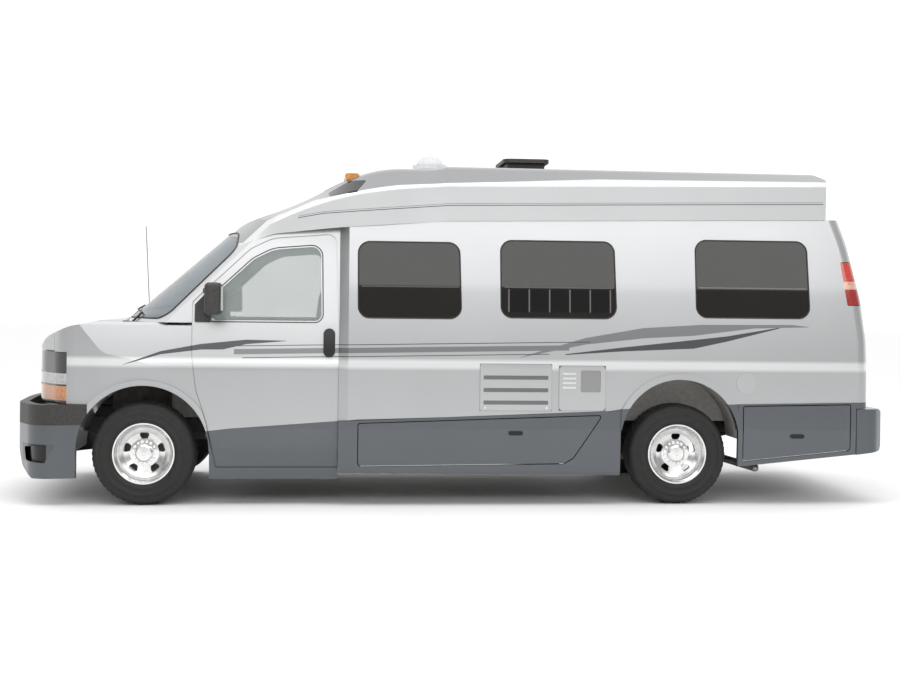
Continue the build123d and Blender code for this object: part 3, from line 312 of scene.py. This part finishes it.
def paint(name, base=SILVER, stripes=False, grey_low=False, inner=None, extras=()):
    material, tree, shader = new_material(name)
    x, y, z = axes_of(tree)
    color = tone(tree, base)
    if stripes:
        color = add_stripes_and_highlight(tree, x, z, color)
    if grey_low:
        mask = below(tree, z, curve_height(tree, x, GREY_TOP))
        color = mix_color(tree, mask, color, tone(tree, SLATE, 0.05))
    for extra in extras:
        color = extra(tree, x, y, z, color)
    if inner:
        color = mix_color(tree, inner_faces(tree, y), color, tone(tree, inner, 0.06))
    finish_paint(tree, shader, color)
    return material


# Marks that paint() and glass() lay over a colour
def handle_mark(tree, x, y, z, color):
    handle_x, handle_z, half, radius = HANDLE
    mask = capsule(tree, x, z, axle_x(handle_x), handle_z / 1000, half, radius)
    return mix_color(tree, mask, color, BLACK)


def latch_marks(tree, x, y, z, color):
    for latch_x, latch_z in LATCHES:
        latch = capsule(tree, z, x, latch_z / 1000, axle_x(latch_x), LATCH_HALF, LATCH_RADIUS)
        color = mix_color(tree, all_of(tree, latch, on_left(tree, y)), color, BLACK)
    return color


def roof_shade_and_lines(tree, x, y, z, color):
    # painted shade: darker grey on the roof's top, above a line along its shoulder
    painted_shade = above(tree, z, curve_height(tree, x, ROOF_SHADE_BOTTOM), ROOF_SHADE_SOFTNESS)
    color = mix_color(tree, painted_shade, color, ROOF_SHADE_GREY)
    for points, half in ROOF_LINES:
        far = maths(tree, "ABSOLUTE", maths(tree, "SUBTRACT", z, curve_height(tree, x, points)))
        along = between(tree, x, axle_x(points[0][0]), axle_x(points[-1][0]))
        color = mix_color(tree, all_of(tree, below(tree, far, half), along), color, DARK_STRIPE)
    return color


def headliner(tree, x, y, z, color):
    normal_z = axes_of(tree, "Normal")[2]
    return mix_color(tree, maths(tree, "LESS_THAN", normal_z, CEILING_LEVEL), color, TRIM)


def panel_marks(tree, x, y, z, color):
    for x0, x1, z0, z1, grey in VENT_SHADOWS:
        mask = all_of(tree, rectangle(tree, x, z, x0, x1, z0, z1), on_left(tree, y))
        color = mix_color(tree, mask, color, (grey, grey, grey))
    return color


def fog_marks(tree, x, y, z, color):
    side = maths(tree, "GREATER_THAN", maths(tree, "ABSOLUTE", y), FOG_FROM_Y)
    mask = all_of(tree, rectangle(tree, x, z, *FOG, FOG_EDGE), side)
    return mix_color(tree, mask, color, BLACK)


# Sliding lower panes: window x start, x end, z of the rail
SLIDERS = [(1560, 2280, 1600), (2615, 3435, 1604), (4085, 4915, 1618)]
RAIL_HIGH = 10
RAIL_GREY = (0.09, 0.085, 0.08)
# Vent behind the middle window: start x, end x, low z, high z, number of bays
VENT_GRID = (2649, 3411, 1427, 1596, 5)
VENT_BAR_HALF = 6
VENT_BAR_GREY = (0.13, 0.125, 0.12)
VENT_BLACK = (0.004, 0.004, 0.004)
# The brow panes are the glass above this height
BROW_Z = 2.2


def slider_marks(tree, x, y, z, color):
    for x0, x1, rail in SLIDERS:
        color = mix_color(tree, rectangle(tree, x, z, x0, x1, rail, rail + RAIL_HIGH), color, RAIL_GREY)
    color = mix_color(tree, above(tree, z, BROW_Z), color, VENT_BLACK)
    x0, x1, z0, z1, bays = VENT_GRID
    left = on_left(tree, y)
    opening = rectangle(tree, x, z, x0, x1, z0, z1)
    color = mix_color(tree, all_of(tree, opening, left), color, VENT_BLACK)
    pitch = (x1 - x0) / bays
    for i in range(bays + 1):
        bar_x = x0 + i * pitch
        bar = rectangle(tree, x, z, bar_x - VENT_BAR_HALF, bar_x + VENT_BAR_HALF, z0, z1)
        color = mix_color(tree, all_of(tree, bar, left), color, VENT_BAR_GREY)
    return color


def plain(name, dark, light, rough, metallic=0.0, scale=30.0, grain=400.0, strength=0.1):
    # rough is the lowest and highest roughness, grain and strength are the scale and depth of the relief
    material, tree, shader = new_material(name)
    cloud = noise(tree, scale, 3.0)
    tree.links.new(ramp(tree, cloud, dark, light), shader.inputs["Base Color"])
    low, high = rough
    roughness = maths(tree, "ADD", maths(tree, "MULTIPLY", cloud, high - low), low)
    tree.links.new(roughness, shader.inputs["Roughness"])
    shader.inputs["Metallic"].default_value = metallic
    bump(tree, shader, noise(tree, grain), strength, RELIEF)
    return material


GLASS_CLOUD_SCALE = 3.0
GLASS_WAVE_SCALE = 6.0
GLASS_SPREAD = (0.93, 1.07)


def glass(name, tint, alpha, rough=0.03, marks=None):
    material, tree, shader = new_material(name)
    dark, light = (scaled(tint, share) for share in GLASS_SPREAD)
    color = ramp(tree, noise(tree, GLASS_CLOUD_SCALE), dark, light)
    if marks:
        x, y, z = axes_of(tree)
        color = marks(tree, x, y, z, color)
    tree.links.new(color, shader.inputs["Base Color"])
    shader.inputs["Roughness"].default_value = rough
    shader.inputs["Alpha"].default_value = alpha
    bump(tree, shader, noise(tree, GLASS_WAVE_SCALE, 1.0), 0.01, RELIEF)
    return material


LAMP_CLOUD_SCALE = 40.0
LAMP_FLUTE_SCALE = 55.0
LAMP_SPREAD = (0.75, 1.15)
LAMP_DARK = 0.85
LAMP_ROUGH = 0.14
LAMP_COAT = 0.8


def lamp_material(name, zones, base):
    # zones: low z, high z and a colour
    material, tree, shader = new_material(name)
    z = axes_of(tree)[2]
    cloud = noise(tree, LAMP_CLOUD_SCALE)
    color = ramp(tree, cloud, scaled(base, LAMP_DARK), base)
    for z0, z1, zone_color in zones:
        dark, light = (scaled(zone_color, share) for share in LAMP_SPREAD)
        shade = ramp(tree, noise(tree, LAMP_FLUTE_SCALE, 1.0), dark, light)
        color = mix_color(tree, between(tree, z, z0 / 1000, z1 / 1000), color, shade)
    tree.links.new(color, shader.inputs["Base Color"])
    shader.inputs["Roughness"].default_value = LAMP_ROUGH
    shader.inputs["Coat Weight"].default_value = LAMP_COAT
    bump(tree, shader, cloud, 0.05, RELIEF)
    return material


silver = paint("silver_paint", inner=TRIM)
striped = paint("striped_paint", stripes=True, grey_low=True, inner=TRIM, extras=(panel_marks,))
door_paint = paint("door_paint", stripes=True, grey_low=True, inner=TRIM, extras=(handle_mark,))
fender_paint = paint("fender_paint", stripes=True, grey_low=True, inner=BLACK)
slate = paint("slate_paint", base=SLATE, inner=BLACK, extras=(latch_marks,))
valance = paint("valance_paint", base=SLATE, inner=BLACK, extras=(fog_marks,))
roof_paint = paint("roof_paint", base=ROOF_SILVER, extras=(roof_shade_and_lines, headliner))
panel_paint = paint("panel_paint", base=PANEL_SILVER)
black_grain = plain("black_grain", (0.022, 0.021, 0.02), (0.042, 0.04, 0.038), (0.45, 0.6), scale=60,
                    grain=700, strength=0.35)
rubber = plain("tyre_rubber", (0.009, 0.009, 0.009), (0.019, 0.018, 0.017), (0.6, 0.8), scale=20,
               grain=300, strength=0.3)
seal_rubber = plain("seal_rubber", (0.008, 0.008, 0.008), (0.016, 0.016, 0.016), (0.4, 0.55))
alloy = plain("polished_alloy", (0.70, 0.70, 0.70), (0.82, 0.82, 0.81), (0.14, 0.26), metallic=1.0,
              scale=15, grain=200, strength=0.03)
chrome = plain("chrome", (0.78, 0.78, 0.78), (0.86, 0.86, 0.86), (0.05, 0.1), metallic=1.0, strength=0.01)
chassis_black = plain("chassis_black", (0.012, 0.012, 0.012), (0.03, 0.028, 0.026), (0.5, 0.7), scale=12,
                      grain=150, strength=0.3)
casting = plain("casting", (0.10, 0.09, 0.085), (0.18, 0.165, 0.15), (0.5, 0.7), metallic=0.7, scale=18,
                grain=220, strength=0.4)
pipe_steel = plain("pipe_steel", (0.25, 0.22, 0.19), (0.42, 0.4, 0.37), (0.35, 0.55), metallic=0.9,
                   scale=9, grain=150, strength=0.2)
trim_grey = plain("interior_trim", (0.26, 0.25, 0.235), (0.34, 0.33, 0.31), (0.55, 0.7), grain=600,
                  strength=0.3)
dash_grey = plain("dash_trim", (0.07, 0.07, 0.072), (0.11, 0.11, 0.112), (0.55, 0.7), grain=600,
                  strength=0.3)
cloth = plain("seat_cloth", (0.17, 0.155, 0.14), (0.27, 0.25, 0.225), (0.8, 0.95), scale=250, grain=1200,
              strength=0.5)
wood = plain("cabinet_wood", (0.28, 0.17, 0.09), (0.43, 0.28, 0.15), (0.35, 0.5), scale=7, grain=80)
floor_white = plain("studio_floor", (0.87, 0.87, 0.87), (0.89, 0.89, 0.89), (0.7, 0.75), scale=0.7)
screen_glass = glass("windscreen_glass", (0.16, 0.20, 0.22), 0.55)
cab_glass = glass("cab_glass", (0.42, 0.48, 0.46), 0.28)
dark_glass = glass("dark_glass", (0.011, 0.010, 0.008), 0.97, marks=slider_marks)
black_glass = glass("black_glass", (0.012, 0.012, 0.013), 0.97)
dome_clear = glass("dome_clear", (0.66, 0.69, 0.7), 0.5, 0.12)
headlamp = lamp_material("headlamp_lens", [
    (952, 1092, (0.022, 0.022, 0.023)),
    (868, 948, (0.42, 0.425, 0.43)),
    (752, 856, (0.58, 0.24, 0.09)),
], (0.015, 0.015, 0.016))
tail_red = lamp_material("tail_lens", [
    (1683, 1826, (0.5, 0.05, 0.03)),
    (1622, 1683, (0.62, 0.36, 0.28)),
    (1505, 1622, (0.3, 0.02, 0.016)),
], (0.04, 0.008, 0.008))
amber = lamp_material("amber_lens", [(2000, 3000, (0.6, 0.26, 0.04))], (0.5, 0.22, 0.04))
grille_finish = lamp_material("grille_finish", [(868, 949, (0.5, 0.505, 0.51))], (0.03, 0.03, 0.032))

# Materials of the CAD nodes by name, and of the wheels by the first word of their names
MATERIALS = {
    "house_left": striped, "house_right": striped, "entry_door": striped, "cab_shell": striped,
    "front_door_left": door_paint, "front_door_right": door_paint, "fenders": fender_paint,
    "hood": silver, "rear_frame": silver, "rear_door_left": silver, "rear_door_right": silver,
    "roof_cap": roof_paint, "wall_panels": panel_paint, "front_valance": valance,
    "rear_bumper": slate, "skirts": slate, "store_door_middle": slate, "store_door_rear": slate,
    "front_bumper": black_grain, "cowl": black_grain, "vent_hatch": black_grain,
    "mirror_left": black_grain, "mirror_right": black_grain, "grille": grille_finish,
    "headlamps": headlamp, "tail_lamps": tail_red, "clearance_lamps": amber,
    "vent_dome": dome_clear, "antenna": pipe_steel, "windshield": screen_glass,
    "front_door_glass_left": cab_glass, "front_door_glass_right": cab_glass,
    "house_glass": dark_glass, "entry_glass": dark_glass,
    "rear_door_glass_left": black_glass, "rear_door_glass_right": black_glass,
    "chassis_frame": chassis_black, "front_suspension": chassis_black, "rear_axle": chassis_black,
    "storage_bins": chassis_black, "engine": casting, "knuckle_left": casting,
    "knuckle_right": casting, "exhaust": pipe_steel, "floor": trim_grey, "dashboard": dash_grey,
    "seat_bases": dash_grey, "seat_cushions": cloth, "rear_bench": cloth, "cabinet": wood,
}
WHEEL_MATERIALS = {"tyre": rubber, "rim": alloy}
for name, node in NODES.items():
    node.data.materials.clear()
    node.data.materials.append(WHEEL_MATERIALS.get(name.split("_")[0]) or MATERIALS[name])


# Mesh helpers
def link(obj):
    bpy.context.scene.collection.objects.link(obj)
    return obj


def piece(name, bm, material, body, smooth=True, bevel=0.0):
    mesh = bpy.data.meshes.new(name)
    bm.normal_update()
    bm.to_mesh(mesh)
    bm.free()
    for face in mesh.polygons:
        face.use_smooth = smooth
    mesh.materials.append(material)
    obj = link(bpy.data.objects.new(name, mesh))
    if bevel:
        edges = obj.modifiers.new("edges", "BEVEL")
        edges.width = bevel
        edges.segments = 2
    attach(obj, body)
    return obj


def put_box(bm, x0, x1, y0, y1, z0, z1):
    size = Matrix.Diagonal((x1 - x0, y1 - y0, z1 - z0, 1))
    place = Matrix.Translation(((x0 + x1) / 2, (y0 + y1) / 2, (z0 + z1) / 2))
    bmesh.ops.create_cube(bm, size=1.0, matrix=place @ size)


def box_piece(name, box, material, body, bevel):
    bm = bmesh.new()
    put_box(bm, *box)
    return piece(name, bm, material, body, smooth=False, bevel=bevel)


# Tyres with raised rings on the walls and cut tread, in metres
TYRE_RADIUS = 0.373
TREAD_STEPS = 216
TREAD_HALF = 0.088
GROOVE = 0.008
GROOVE_HALF = 0.0025
RIBS = 5
RIB_EDGE = 0.0035
# Wall from the bead to the tread's shoulder: radius, distance out from the wheel's middle
TYRE_WALL = [(0.206, 0.092), (0.222, 0.0985), (0.2265, 0.110), (0.244, 0.1165), (0.246, 0.1195),
             (0.256, 0.1205), (0.258, 0.1190), (0.290, 0.1215), (0.292, 0.1240), (0.306, 0.1240),
             (0.308, 0.1215), (0.330, 0.1175), (0.332, 0.1190), (0.346, 0.1140), (0.361, 0.1010)]
# How a row of the tyre is cut across: not at all, as a middle rib or as a shoulder rib
SMOOTH, MIDDLE, SHOULDER_RIB = 0, 1, 2


def tyre_profile():
    rows = [(radius, out, SMOOTH) for radius, out in TYRE_WALL]
    width = 2 * TREAD_HALF / RIBS
    for i in range(RIBS):
        high = TREAD_HALF - i * width
        low = high - width
        outer = i in (0, RIBS - 1)
        drop = RIB_EDGE if outer else 0.0
        kind = SHOULDER_RIB if outer else MIDDLE
        rows.append((TYRE_RADIUS - drop, high - RIB_EDGE, kind))
        rows.append((TYRE_RADIUS - drop * 0.2, (high + low) / 2, kind))
        rows.append((TYRE_RADIUS - drop, low + RIB_EDGE, kind))
        if i < RIBS - 1:
            rows.append((TYRE_RADIUS - GROOVE, low + GROOVE_HALF, SMOOTH))
            rows.append((TYRE_RADIUS - GROOVE, low - GROOVE_HALF, SMOOTH))
    rows += [(radius, -out, SMOOTH) for radius, out in reversed(TYRE_WALL)]
    return rows


TYRE_ROWS = tyre_profile()
SHOULDER_CUT_EVERY = 4
SHOULDER_CUT = GROOVE * 0.8
MIDDLE_CUT_EVERY = 6
MIDDLE_CUT = GROOVE * 0.5


def tread_cut(kind, i, j):
    if kind == SHOULDER_RIB and i % SHOULDER_CUT_EVERY == 0:
        return SHOULDER_CUT
    if kind == MIDDLE and (i + j) % MIDDLE_CUT_EVERY == 0:
        return MIDDLE_CUT
    return 0.0


def turn_tyre(bm, hub, sign):
    # the rows are turned round the axle in steps, and each step is joined to the next
    rings = []
    for i in range(TREAD_STEPS):
        angle = 2 * math.pi * i / TREAD_STEPS
        ring = []
        for j, (radius, out, kind) in enumerate(TYRE_ROWS):
            reach = radius - tread_cut(kind, i, j)
            ring.append(bm.verts.new((hub[0] + reach * math.sin(angle), hub[1] + sign * out,
                                      hub[2] + reach * math.cos(angle))))
        rings.append(ring)
    for i in range(TREAD_STEPS):
        here, following = rings[i], rings[(i + 1) % TREAD_STEPS]
        for j in range(len(TYRE_ROWS)):
            k = (j + 1) % len(TYRE_ROWS)
            quad = (here[j], here[k], following[k], following[j])
            bm.faces.new(quad if sign > 0 else quad[::-1])
    bmesh.ops.recalc_face_normals(bm, faces=bm.faces)


LUGS = 8
LUG_CIRCLE = 0.0825
LUG_TURN = math.radians(12)
LUG_OUT = 0.043
LUG_RADIUS = 0.0105
LUG_TIP_RADIUS = 0.0085
LUG_DEPTH = 0.026


def put_lugs(bm, hub, sign):
    turn = Matrix.Rotation(math.radians(-90 * sign), 4, "X")
    for i in range(LUGS):
        angle = LUG_TURN + 2 * math.pi * i / LUGS
        place = (hub[0] + LUG_CIRCLE * math.sin(angle), hub[1] + sign * LUG_OUT,
                 hub[2] + LUG_CIRCLE * math.cos(angle))
        bmesh.ops.create_cone(bm, cap_ends=True, segments=6, radius1=LUG_RADIUS, radius2=LUG_TIP_RADIUS,
                              depth=LUG_DEPTH, matrix=Matrix.Translation(place) @ turn)


def dress_wheel(axle, side, sign):
    node = "tyre_%s_%s" % (axle, side)
    body = "wheel_%s_%s" % (axle, side)
    lo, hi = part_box(node)
    hub = ((lo[0] + hi[0]) / 2, (lo[1] + hi[1]) / 2, (lo[2] + hi[2]) / 2)
    bm = bmesh.new()
    turn_tyre(bm, hub, sign)
    tyre = piece("tread_" + axle + "_" + side, bm, rubber, body)
    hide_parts(node)
    bm = bmesh.new()
    put_lugs(bm, hub, sign)
    piece("lug_nuts_" + axle + "_" + side, bm, chrome, body, smooth=False, bevel=0.001)


for axle in ("front", "rear"):
    for side, sign in SIDES:
        dress_wheel(axle, side, sign)


# Rubber seals that follow the outer edge of each pane
SEAL_RADIUS = 0.006
SCREEN_SEAL_RADIUS = 0.007
WELD_DISTANCE = 0.0001
SHORTEST_LOOP = 4


def edge_loops(edges):
    # chains the pairs of vertices into loops
    links = {}
    for a, b in edges:
        links.setdefault(a, []).append(b)
        links.setdefault(b, []).append(a)
    loops = []
    waiting = set(links)
    while waiting:
        here = waiting.pop()
        loop = [here]
        while True:
            nearby = [v for v in links[here] if v in waiting]
            if not nearby:
                break
            here = nearby[0]
            waiting.discard(here)
            loop.append(here)
        loops.append(loop)
    return loops


def seals(node, body, facing, radius=SEAL_RADIUS):
    bm = bmesh.new()
    bm.from_mesh(NODES[node].data)
    bmesh.ops.remove_doubles(bm, verts=bm.verts, dist=WELD_DISTANCE)
    bm.normal_update()
    outer = {face for face in bm.faces if facing(face.normal, face.calc_center_median())}
    edges = []
    spots = {}
    for edge in bm.edges:
        if sum(face in outer for face in edge.link_faces) == 1:
            a, b = edge.verts
            spots[a.index], spots[b.index] = a.co.copy(), b.co.copy()
            edges.append((a.index, b.index))
    bm.free()
    curve = bpy.data.curves.new("seal_" + node, "CURVE")
    curve.dimensions = "3D"
    curve.bevel_depth = radius
    curve.bevel_resolution = 2
    for loop in edge_loops(edges):
        if len(loop) < SHORTEST_LOOP:
            continue
        spline = curve.splines.new("POLY")
        spline.points.add(len(loop) - 1)
        for point, key in zip(spline.points, loop):
            point.co = (*spots[key], 1)
        spline.use_cyclic_u = True
    curve.materials.append(seal_rubber)
    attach(link(bpy.data.objects.new("seal_" + node, curve)), body)


# How far a face's normal has to lean each way to count as a pane's outer face
SIDE_LEAN = 0.6
FRONT_LEAN = 0.3
REAR_LEAN = 0.5


def sideways(normal, middle):
    return normal.y * middle.y > 0 and abs(normal.y) > SIDE_LEAN


def forward(normal, middle):
    return normal.x < -FRONT_LEAN


def rearward(normal, middle):
    return normal.x > REAR_LEAN


seals("windshield", "body", forward, SCREEN_SEAL_RADIUS)
seals("house_glass", "body", sideways)
seals("entry_glass", "entry_door", sideways)
for side, _ in SIDES:
    seals("front_door_glass_" + side, "front_door_" + side, sideways)
    seals("rear_door_glass_" + side, "rear_door_" + side, rearward)


# Padded pieces: a crowned form whose sides pull in, with two sewn channels
CUSHION_CUTS = 14
CUSHION_POWER = 5.0
CUSHION_CROWN = 0.018
PULL_IN = 0.012
CHANNELS = (-0.42, 0.42)
CHANNEL_DEPTH = 0.006
CHANNEL_WIDTH = 0.05


def cushion(name, x0, x1, y0, y1, z0, z1, lean=0.0, crown=CUSHION_CROWN):
    bm = bmesh.new()
    bmesh.ops.create_cube(bm, size=2.0)
    bmesh.ops.subdivide_edges(bm, edges=bm.edges[:], cuts=CUSHION_CUTS, use_grid_fill=True)
    half = ((x1 - x0) / 2, (y1 - y0) / 2, (z1 - z0) / 2)
    middle = ((x0 + x1) / 2, (y0 + y1) / 2, (z0 + z1) / 2)
    thin = min(range(3), key=lambda i: half[i])
    first, second = [i for i in range(3) if i != thin]
    for vert in bm.verts:
        place = [vert.co.x, vert.co.y, vert.co.z]
        norm = sum(abs(c) ** CUSHION_POWER for c in place) ** (1 / CUSHION_POWER)
        place = [c / norm * max(abs(q) for q in place) for c in place]
        out = [place[i] * half[i] for i in range(3)]
        bulge = (1 - place[first] ** 2) * (1 - place[second] ** 2)
        out[thin] += math.copysign(crown * bulge, place[thin])
        out[first] *= 1 - PULL_IN * (1 - place[second] ** 2)
        out[second] *= 1 - PULL_IN * (1 - place[first] ** 2)
        for line in CHANNELS:
            depth = CHANNEL_DEPTH * math.exp(-((place[second] - line) / CHANNEL_WIDTH) ** 2)
            out[thin] -= math.copysign(depth, place[thin])
        vert.co = Vector(out)
    bmesh.ops.rotate(bm, verts=bm.verts, cent=(0, 0, -half[2]), matrix=Matrix.Rotation(lean, 3, "Y"))
    bmesh.ops.translate(bm, verts=bm.verts, vec=middle)
    obj = piece(name, bm, cloth, "body")
    soft = obj.modifiers.new("soft", "SUBSURF")
    soft.levels = soft.render_levels = 1
    return obj


# Seats: name, start x, end x, then half width, low z and high z in metres, lean in degrees, crown in metres
SEAT_Y = 0.470
SEAT_ROWS = [
    ("seat_cushion_", 805, 1310, 0.24, 0.905, 1.03, 0, CUSHION_CROWN),
    ("seat_back_", 1215, 1335, 0.235, 0.985, 1.60, 4, CUSHION_CROWN),
    ("seat_head_", 1283, 1368, 0.125, 1.615, 1.795, 0, 0.01),
]
for side, sign in SIDES:
    y = sign * SEAT_Y
    for name, x0, x1, half, z0, z1, lean, crown in SEAT_ROWS:
        cushion(name + side, axle_x(x0), axle_x(x1), y - half, y + half, z0, z1,
                                   lean=math.radians(lean), crown=crown)
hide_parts("seat_cushions")

# Rear bench: panelled base with loose cushions, inside the box of the CAD bench
BENCH_TOP = 0.935
BENCH_PLACES = 3
BENCH_INSET = 0.012
BENCH_REAR_INSET = 0.01
PANEL_MARGIN = 0.05
PANEL_GAP = 0.02
PANEL_FRONT = 0.001
PANEL_BACK = 0.0125
PANEL_FOOT = 0.05
PANEL_HEAD = 0.04
CUSHION_MARGIN = 0.015
CUSHION_GAP = 0.005
CUSHION_FRONT = 0.01
CUSHION_BACK = 0.02
CUSHION_HEADROOM = 0.012


def bench_spans(lo, hi, margin):
    # start y and end y of each place across the bench
    width = (hi[1] - lo[1] - 2 * margin) / BENCH_PLACES
    return [(lo[1] + margin + i * width, lo[1] + margin + i * width + width) for i in range(BENCH_PLACES)]


def rear_bench():
    lo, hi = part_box("rear_bench")
    bm = bmesh.new()
    put_box(bm, lo[0] + BENCH_INSET, hi[0] - BENCH_REAR_INSET, lo[1] + BENCH_INSET, hi[1] - BENCH_INSET,
            lo[2], BENCH_TOP)
    for y0, y1 in bench_spans(lo, hi, PANEL_MARGIN):
        put_box(bm, lo[0] + PANEL_FRONT, lo[0] + PANEL_BACK, y0 + PANEL_GAP, y1 - PANEL_GAP,
                lo[2] + PANEL_FOOT, BENCH_TOP - PANEL_HEAD)
    base = piece("bench_base", bm, wood, "body", smooth=False, bevel=0.004)
    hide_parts("rear_bench")
    for i, (y0, y1) in enumerate(bench_spans(lo, hi, CUSHION_MARGIN)):
        cushion("bench_cushion_%d" % (i + 1), lo[0] + CUSHION_FRONT, hi[0] - CUSHION_BACK,
                y0 + CUSHION_GAP, y1 - CUSHION_GAP, BENCH_TOP, hi[2] - CUSHION_HEADROOM)


rear_bench()

# Cabinet doors and their handles, on the front of the CAD cabinet
CABINET_DOORS = 4
DOOR_GAP = 0.015
DOOR_THICK = 0.012
DOOR_FOOT = 0.06
DOOR_HEAD = 0.05
HANDLE_THICK = 0.014
HANDLE_INSET = 0.06
HANDLE_LONG = 0.10
# Low and high edge of the handles, down from the cabinet's top
HANDLE_DROP = (0.11, 0.098)


def cabinet_fronts():
    lo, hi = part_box("cabinet")
    step = (hi[0] - lo[0]) / CABINET_DOORS
    starts = [lo[0] + i * step for i in range(CABINET_DOORS)]
    face = hi[1] + DOOR_THICK
    bm = bmesh.new()
    for x in starts:
        put_box(bm, x + DOOR_GAP, x + step - DOOR_GAP, hi[1], face, lo[2] + DOOR_FOOT, hi[2] - DOOR_HEAD)
    piece("cabinet_doors", bm, wood, "body", smooth=False, bevel=0.003)
    bm = bmesh.new()
    for x in starts:
        x0 = x + HANDLE_INSET
        put_box(bm, x0, x0 + HANDLE_LONG, face, face + HANDLE_THICK, hi[2] - HANDLE_DROP[0],
                hi[2] - HANDLE_DROP[1])
    piece("cabinet_handles", bm, chrome, "body", smooth=False, bevel=0.002)


cabinet_fronts()

# Louvre blades of the heater vent and screws of the fridge vent, on the left wall
WALL_Y = -1.0445
BLADES = 4
BLADE_X = (3050, 3150)
BLADE_LOW = 0.865
BLADE_PITCH = 0.034
BLADE_HIGH = 0.014
BLADE_OUT = 0.003
SCREWS_X = (2475, 2930)
SCREW_Z = 0.722
SCREW_RADIUS = 0.009
SCREW_TIP_RADIUS = 0.007
SCREW_DEPTH = 0.004


def vent_trim():
    bm = bmesh.new()
    x0, x1 = (axle_x(x) for x in BLADE_X)
    for i in range(BLADES):
        z = BLADE_LOW + i * BLADE_PITCH
        put_box(bm, x0, x1, WALL_Y - BLADE_OUT, WALL_Y + BLADE_OUT, z, z + BLADE_HIGH)
    turn = Matrix.Rotation(math.radians(90), 4, "X")
    for x in SCREWS_X:
        place = Matrix.Translation((axle_x(x), WALL_Y - SCREW_DEPTH / 2, SCREW_Z))
        bmesh.ops.create_cone(bm, cap_ends=True, segments=16, radius1=SCREW_RADIUS,
                              radius2=SCREW_TIP_RADIUS, depth=SCREW_DEPTH, matrix=place @ turn)
    piece("vent_trim", bm, chrome, "body", smooth=False)


vent_trim()

# Mirror glass on the rear of each mirror
MIRROR_INNER_Y = 1.065
MIRROR_RIM = 0.024
MIRROR_FOOT = 0.085
MIRROR_HEAD = 0.026
# How far the glass reaches into the housing and out of it
MIRROR_IN = 0.003
MIRROR_OUT = 0.002
for side, sign in SIDES:
    lo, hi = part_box("mirror_" + side)
    y0, y1 = sorted((sign * MIRROR_INNER_Y, sign * (max(abs(lo[1]), abs(hi[1])) - MIRROR_RIM)))
    mirror = (hi[0] - MIRROR_IN, hi[0] + MIRROR_OUT, y0, y1, lo[2] + MIRROR_FOOT, hi[2] - MIRROR_HEAD)
    box_piece("mirror_glass_" + side, mirror, chrome, "front_door_" + side, 0.002)

# Dark seal behind the front gap of the middle storage door, and the handles of the entry and rear doors
STORE_SEAL = (axle_x(1524), axle_x(1566), -1.002, -0.992, 0.27, 0.61)
ENTRY_HANDLE = (axle_x(2240), axle_x(2300), 1.036, 1.056, 1.06, 1.20)
REAR_HANDLE = (axle_x(5398), axle_x(5418), 0.03, 0.10, 1.02, 1.19)
box_piece("store_seal", STORE_SEAL, seal_rubber, "body", 0.002)
box_piece("entry_handle", ENTRY_HANDLE, black_grain, "entry_door", 0.012)
box_piece("rear_handle", REAR_HANDLE, black_grain, "rear_door_right", 0.008)

# Studio floor, lights and world
FLOOR_HALF = 60.0
FLOOR_DROP = 0.0005


def studio_floor():
    bm = bmesh.new()
    bmesh.ops.create_grid(bm, x_segments=8, y_segments=8, size=FLOOR_HALF)
    mesh = bpy.data.meshes.new("studio_floor")
    bm.to_mesh(mesh)
    bm.free()
    mesh.materials.append(floor_white)
    ground = link(bpy.data.objects.new("studio_floor", mesh))
    ground.location.z = -FLOOR_DROP


# World strength: a dim base, more behind the van along y and more overhead, as from, to and how much
WORLD_BASE = 0.38
WORLD_BEHIND = (-0.15, 0.25, 0.75)
WORLD_OVERHEAD = (0.1, 0.8, 0.45)


def studio_world():
    world = bpy.data.worlds.new("studio")
    bpy.context.scene.world = world
    world.use_nodes = True
    tree = world.node_tree
    across, up = axes_of(tree, "Generated")[1:]
    glow = maths(tree, "ADD", eased(tree, across, *WORLD_BEHIND), eased(tree, up, *WORLD_OVERHEAD))
    background = tree.nodes["Background"]
    background.inputs["Color"].default_value = (1, 1, 1, 1)
    tree.links.new(maths(tree, "ADD", glow, WORLD_BASE), background.inputs["Strength"])


def area_light(name, place, aim, width, height, energy):
    light = bpy.data.lights.new(name, "AREA")
    light.shape = "RECTANGLE"
    light.size = width
    light.size_y = height
    light.energy = energy
    obj = link(bpy.data.objects.new(name, light))
    obj.location = place
    obj.rotation_euler = (Vector(aim) - Vector(place)).to_track_quat("-Z", "Y").to_euler()


studio_floor()
studio_world()
area_light("key_top", (0.0, -2.5, 7.5), (0, -0.4, 1.2), 10.0, 4.0, 330)
area_light("side_box", (0.3, -10.5, 5.0), (0.3, 0, 1.8), 15.0, 2.8, 340)

# Camera at the photo's place: level, turned and rolled a little
CAM_PLACE = (axle_x(1328.6), -10.698, 1.510)
CAM_YAW = math.radians(5.2)
CAM_ROLL = math.radians(0.64)
CAM_FOCAL_PX = 1323.0
IMAGE_W = 900.0
HORIZON_SHIFT_PX = -37.5
SENSOR_WIDTH = 36.0
cam_data = bpy.data.cameras.new("camera")
cam = link(bpy.data.objects.new("camera", cam_data))
look = Matrix.Rotation(-CAM_YAW, 4, "Z") @ Matrix.Rotation(math.radians(90), 4, "X")
cam.matrix_world = Matrix.Translation(CAM_PLACE) @ look @ Matrix.Rotation(CAM_ROLL, 4, "Z")
cam_data.sensor_width = SENSOR_WIDTH
cam_data.lens = CAM_FOCAL_PX / IMAGE_W * SENSOR_WIDTH
cam_data.shift_y = HORIZON_SHIFT_PX / IMAGE_W
cam_data.clip_end = 200
bpy.context.scene.camera = cam
bpy.context.scene.view_settings.view_transform = "Standard"
